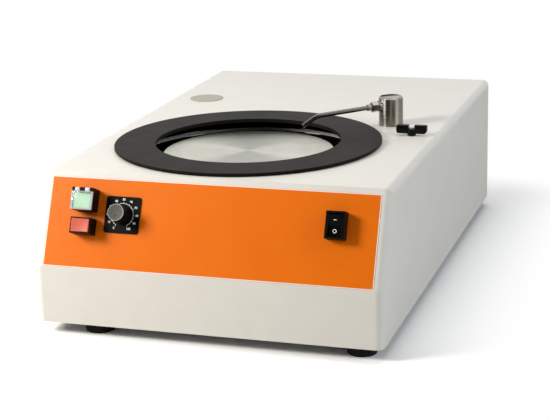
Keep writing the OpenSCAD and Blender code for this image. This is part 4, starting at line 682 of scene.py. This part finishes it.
# Grey face of the speed knob, with its raised rim and the small dark mark below its middle
knobFace = {"x": -100.5, "v": 63, "out": 21.55, "radius": 9.3, "thick": 0.5, "sides": 64, "rim": 0.6,
            "dish": 0.25, "dimple": 1.0, "edge": (0.1, 2), "rimOverlap": 0.1, "rimTilt": 0.2,
            "mark": (1.5, 1.1, 0.3, 3.8), "markEdge": (0.08, 2), "markSink": 0.1}


def makeKnobFace(v):
    face = drum(v["radius"], v["thick"], (0, 0, 0), v["sides"])
    face.name = "knobFace"
    pickFaces(face, facesUp)
    bpy.ops.mesh.inset(thickness=mm(v["rim"]))
    bpy.ops.transform.translate(value=(0, 0, -mm(v["dish"])))
    bpy.ops.mesh.inset(thickness=mm(v["radius"] - v["rim"] - v["dimple"]))
    bpy.ops.transform.translate(value=(0, 0, -mm(v["dish"] / 2)))
    bpy.ops.object.mode_set(mode="OBJECT")
    soften(face, *v["edge"])
    face.data.materials.clear()
    face.data.materials.append(plastics["knobCapGrey"])
    face.data.materials.append(plastics["knobRimGrey"])
    for part in face.data.polygons:
        outside = math.hypot(part.center.x, part.center.y) > mm(v["radius"] - v["rim"] - v["rimOverlap"])
        part.material_index = 1 if outside and part.normal.z > v["rimTilt"] else 0
    layOnSlope(face, v["x"], v["v"], v["out"])
    finish(face, None, "speed_control")
    length, width, thick, below = v["mark"]
    mark = flatBar(length, width, thick, (0, -below), math.pi / 2)
    mark.name = "knobMark"
    soften(mark, *v["markEdge"])
    layOnSlope(mark, v["x"], v["v"], v["out"] + v["thick"] - v["dish"] - v["markSink"])
    finish(mark, plastics["knobBlack"], "speed_control")


makeKnobFace(knobFace)

# Marks printed on the rocker: a bar above and a ring below
rockerMarks = {"x": 144.8, "v": 66, "pivot": 7.9, "bar": (3.6, 0.8, 0.05), "barY": 5.37, "barOut": 4.96,
               "barLean": 16, "ring": (2.2, 1.5), "ringY": -6.6, "ringOut": 3.255, "thick": 0.05, "sides": 48}


def makeRockerMarks(v):
    bar = block(v["bar"], (0, 0, 0))
    selectOnly(bar)
    bar.rotation_euler = (math.radians(v["barLean"]), 0, 0)
    bar.location = (0, mm(v["barY"]), mm(v["barOut"]))
    bpy.ops.object.transform_apply(location=True, rotation=True, scale=True)
    ring = drum(v["ring"][0], v["thick"], (0, v["ringY"], v["ringOut"]), v["sides"])
    pickFaces(ring, lambda middle, way: abs(way.z) > facing)
    bpy.ops.mesh.inset(thickness=mm(v["ring"][0] - v["ring"][1]))
    bpy.ops.mesh.bridge_edge_loops()
    bpy.ops.object.mode_set(mode="OBJECT")
    marks = joinAll([bar, ring], "rockerMarks")
    layOnSlope(marks, v["x"], v["v"], v["pivot"])
    finish(marks, whitePrint, "power_rocker")


makeRockerMarks(rockerMarks)

# Moulded butterfly handle of the water valve: a rounded wing, a squared wing with one corner cut, and a hub
handleLook = {"place": (166.6, -49, 179.8), "hub": (5.3, 7.3), "sides": 48, "bore": 2.7, "boreDeep": 1.6,
              "hubEdge": (0.4, 3), "left": (15.2, 7.4, 10.2), "right": (15.0, 7.0, 10.4), "reach": 18.7,
              "lift": 1.9, "round": (2.6, 5), "cut": (2.6, 1), "wingEdge": (0.7, 3), "within": 1}


def makeHandle(v):
    hub = drum(v["hub"][0], v["hub"][1], (0, 0, 0), v["sides"])
    pickFaces(hub, facesUp)
    bpy.ops.mesh.inset(thickness=mm(v["hub"][0] - v["bore"]))
    bpy.ops.mesh.extrude_region_move(TRANSFORM_OT_translate={"value": (0, 0, -mm(v["boreDeep"]))})
    bpy.ops.object.mode_set(mode="OBJECT")
    soften(hub, *v["hubEdge"])
    width, height = v["left"][0], v["left"][2]
    left = block(v["left"], (width / 2 - v["reach"], 0, v["lift"] + height / 2))
    outer = mm(v["within"] - v["reach"])
    pickEdges(left, lambda a, b: a.x < outer and b.x < outer)
    bpy.ops.mesh.bevel(offset=mm(v["round"][0]), segments=v["round"][1])
    bpy.ops.object.mode_set(mode="OBJECT")
    soften(left, *v["wingEdge"])
    width, height = v["right"][0], v["right"][2]
    right = block(v["right"], (v["reach"] - width / 2, 0, v["lift"] + height / 2))
    outer, low = mm(v["reach"] - v["within"]), mm(v["lift"] + v["within"])
    pickEdges(right, lambda a, b: a.x > outer and b.x > outer and a.z < low and b.z < low)
    bpy.ops.mesh.bevel(offset=mm(v["cut"][0]), segments=v["cut"][1])
    bpy.ops.object.mode_set(mode="OBJECT")
    soften(right, *v["wingEdge"])
    handle = joinAll([hub, left, right], "butterflyHandle")
    handle.location = [mm(length) for length in v["place"]]
    selectOnly(handle)
    bpy.ops.object.transform_apply(location=True, rotation=True, scale=True)
    finish(handle, plastics["handleBlack"], "valve")
    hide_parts("valve_handle")


makeHandle(handleLook)
print("handle made")

# Stage: a plain pale floor that takes the shadow, which the camera sees brighter and fading to white
floorLook = {"size": 8, "pale": "#DEDDDA", "shade": 1.15, "half": (0.2, 0.334), "near": 0.0, "far": 0.13}


def makeFloor(v):
    bpy.ops.mesh.primitive_plane_add(size=v["size"])
    floor = bpy.context.object
    floor.name = "floor"
    material = bpy.data.materials.new("paleFloor")
    material.use_nodes = True
    tree = material.node_tree
    tree.nodes.clear()
    path = addNode(tree, "ShaderNodeLightPath")
    plain = addNode(tree, "ShaderNodeBsdfDiffuse", {}, {"Color": srgb(v["pale"])})
    seen = addNode(tree, "ShaderNodeBsdfDiffuse", {}, {"Color": (v["shade"], v["shade"], v["shade"], 1)})
    place = addNode(tree, "ShaderNodeTexCoord").outputs["Object"]
    apart = addNode(tree, "ShaderNodeVectorMath", {"operation": "ABSOLUTE"}, {0: place})
    beyond = addNode(tree, "ShaderNodeVectorMath", {"operation": "SUBTRACT"},
                     {0: apart.outputs[0], 1: (*v["half"], 0)})
    outside = addNode(tree, "ShaderNodeVectorMath", {"operation": "MAXIMUM"},
                      {0: beyond.outputs[0], 1: (0, 0, 0)})
    reach = addNode(tree, "ShaderNodeVectorMath", {"operation": "LENGTH"}, {0: outside.outputs[0]})
    fade = addNode(tree, "ShaderNodeMapRange", {"interpolation_type": "SMOOTHSTEP"},
                   {"Value": reach.outputs["Value"], "From Min": v["near"], "From Max": v["far"]})
    white = addNode(tree, "ShaderNodeEmission", {}, {"Strength": 1.0})
    shown = addNode(tree, "ShaderNodeMixShader", {},
                    {0: fade.outputs[0], 1: seen.outputs[0], 2: white.outputs[0]})
    both = addNode(tree, "ShaderNodeMixShader", {},
                   {0: path.outputs["Is Camera Ray"], 1: plain.outputs[0], 2: shown.outputs[0]})
    addNode(tree, "ShaderNodeOutputMaterial", {}, {"Surface": both.outputs[0]})
    floor.data.materials.append(material)


makeFloor(floorLook)

# Soft studio light: a warm key and a weak fill on the left, a soft light above and a cool one on the right
roomLook = {"ambient": 0.12, "tint": (0.99, 0.99, 1.0)}
softboxes = [
    {"name": "warmLeft", "place": (-1.1, -1.0, 0.9), "target": (-0.1, -0.2, 0.12), "size": (0.5, 0.5),
     "watts": 25, "colour": (1.0, 0.955, 0.89)},
    {"name": "leftSide", "place": (-1.6, -0.3, 1.1), "target": (0, 0, 0.12), "size": (0.8, 0.8),
     "watts": 4.5, "colour": (1.0, 0.98, 0.95)},
    {"name": "overhead", "place": (0.0, 0.5, 2.2), "target": (0, 0, 0.1), "size": (2.0, 1.6),
     "watts": 21, "colour": (1.0, 0.985, 0.965)},
    {"name": "coolRight", "place": (2.0, -0.5, 1.0), "target": (0, 0, 0.1), "size": (0.7, 1.2),
     "watts": 17.5, "colour": (0.88, 0.94, 1.0)},
]
cardLook = {"black": "#101010", "roughness": 1.0, "gloss": 0.0}
darkCards = [
    {"name": "frontCard", "place": (0.8, -3.3, 2.9), "turn": (80, 0, 0), "size": (7.5, 5.6)},
]


def makeLight(room, boxes):
    world = bpy.data.worlds.new("room")
    world.use_nodes = True
    bpy.context.scene.world = world
    tree = world.node_tree
    tree.nodes.clear()
    path = addNode(tree, "ShaderNodeLightPath")
    seen = addNode(tree, "ShaderNodeMath", {"operation": "ADD"},
                   {0: path.outputs["Is Camera Ray"], 1: path.outputs["Is Glossy Ray"]})
    shown = addNode(tree, "ShaderNodeMath", {"operation": "ADD", "use_clamp": True},
                    {0: seen.outputs[0], 1: path.outputs["Is Transmission Ray"]})
    soft = addNode(tree, "ShaderNodeBackground", {},
                   {"Color": (*room["tint"], 1), "Strength": room["ambient"]})
    white = addNode(tree, "ShaderNodeBackground", {}, {"Color": (1, 1, 1, 1), "Strength": 1.0})
    both = addNode(tree, "ShaderNodeMixShader", {},
                   {0: shown.outputs[0], 1: soft.outputs[0], 2: white.outputs[0]})
    addNode(tree, "ShaderNodeOutputWorld", {}, {"Surface": both.outputs[0]})
    for box in boxes:
        bpy.ops.object.light_add(type="AREA", location=box["place"])
        lamp = bpy.context.object
        lamp.name = box["name"]
        aim = Vector(box["target"]) - Vector(box["place"])
        lamp.rotation_euler = aim.to_track_quat("-Z", "Y").to_euler()
        lamp.data.shape = "RECTANGLE"
        lamp.data.size, lamp.data.size_y = box["size"]
        lamp.data.energy = box["watts"]
        lamp.data.color = box["colour"]


def makeCards(v, cards):
    # dark studio side behind the camera: only reflections see it
    surface = {"Base Color": srgb(v["black"]), "Roughness": v["roughness"], "Specular IOR Level": v["gloss"]}
    material = startMaterial("cardBlack", surface)[0]
    for card in cards:
        turn = [math.radians(angle) for angle in card["turn"]]
        bpy.ops.mesh.primitive_plane_add(size=1, location=card["place"], rotation=turn)
        panel = bpy.context.object
        panel.name = card["name"]
        panel.scale = (card["size"][0], card["size"][1], 1)
        panel.data.materials.append(material)
        panel.visible_camera = False
        panel.visible_diffuse = False
        panel.visible_shadow = False
        panel.visible_transmission = False


makeLight(roomLook, softboxes)
makeCards(cardLook, darkCards)
bpy.context.scene.view_settings.view_transform = "Standard"
print("stage and light set")
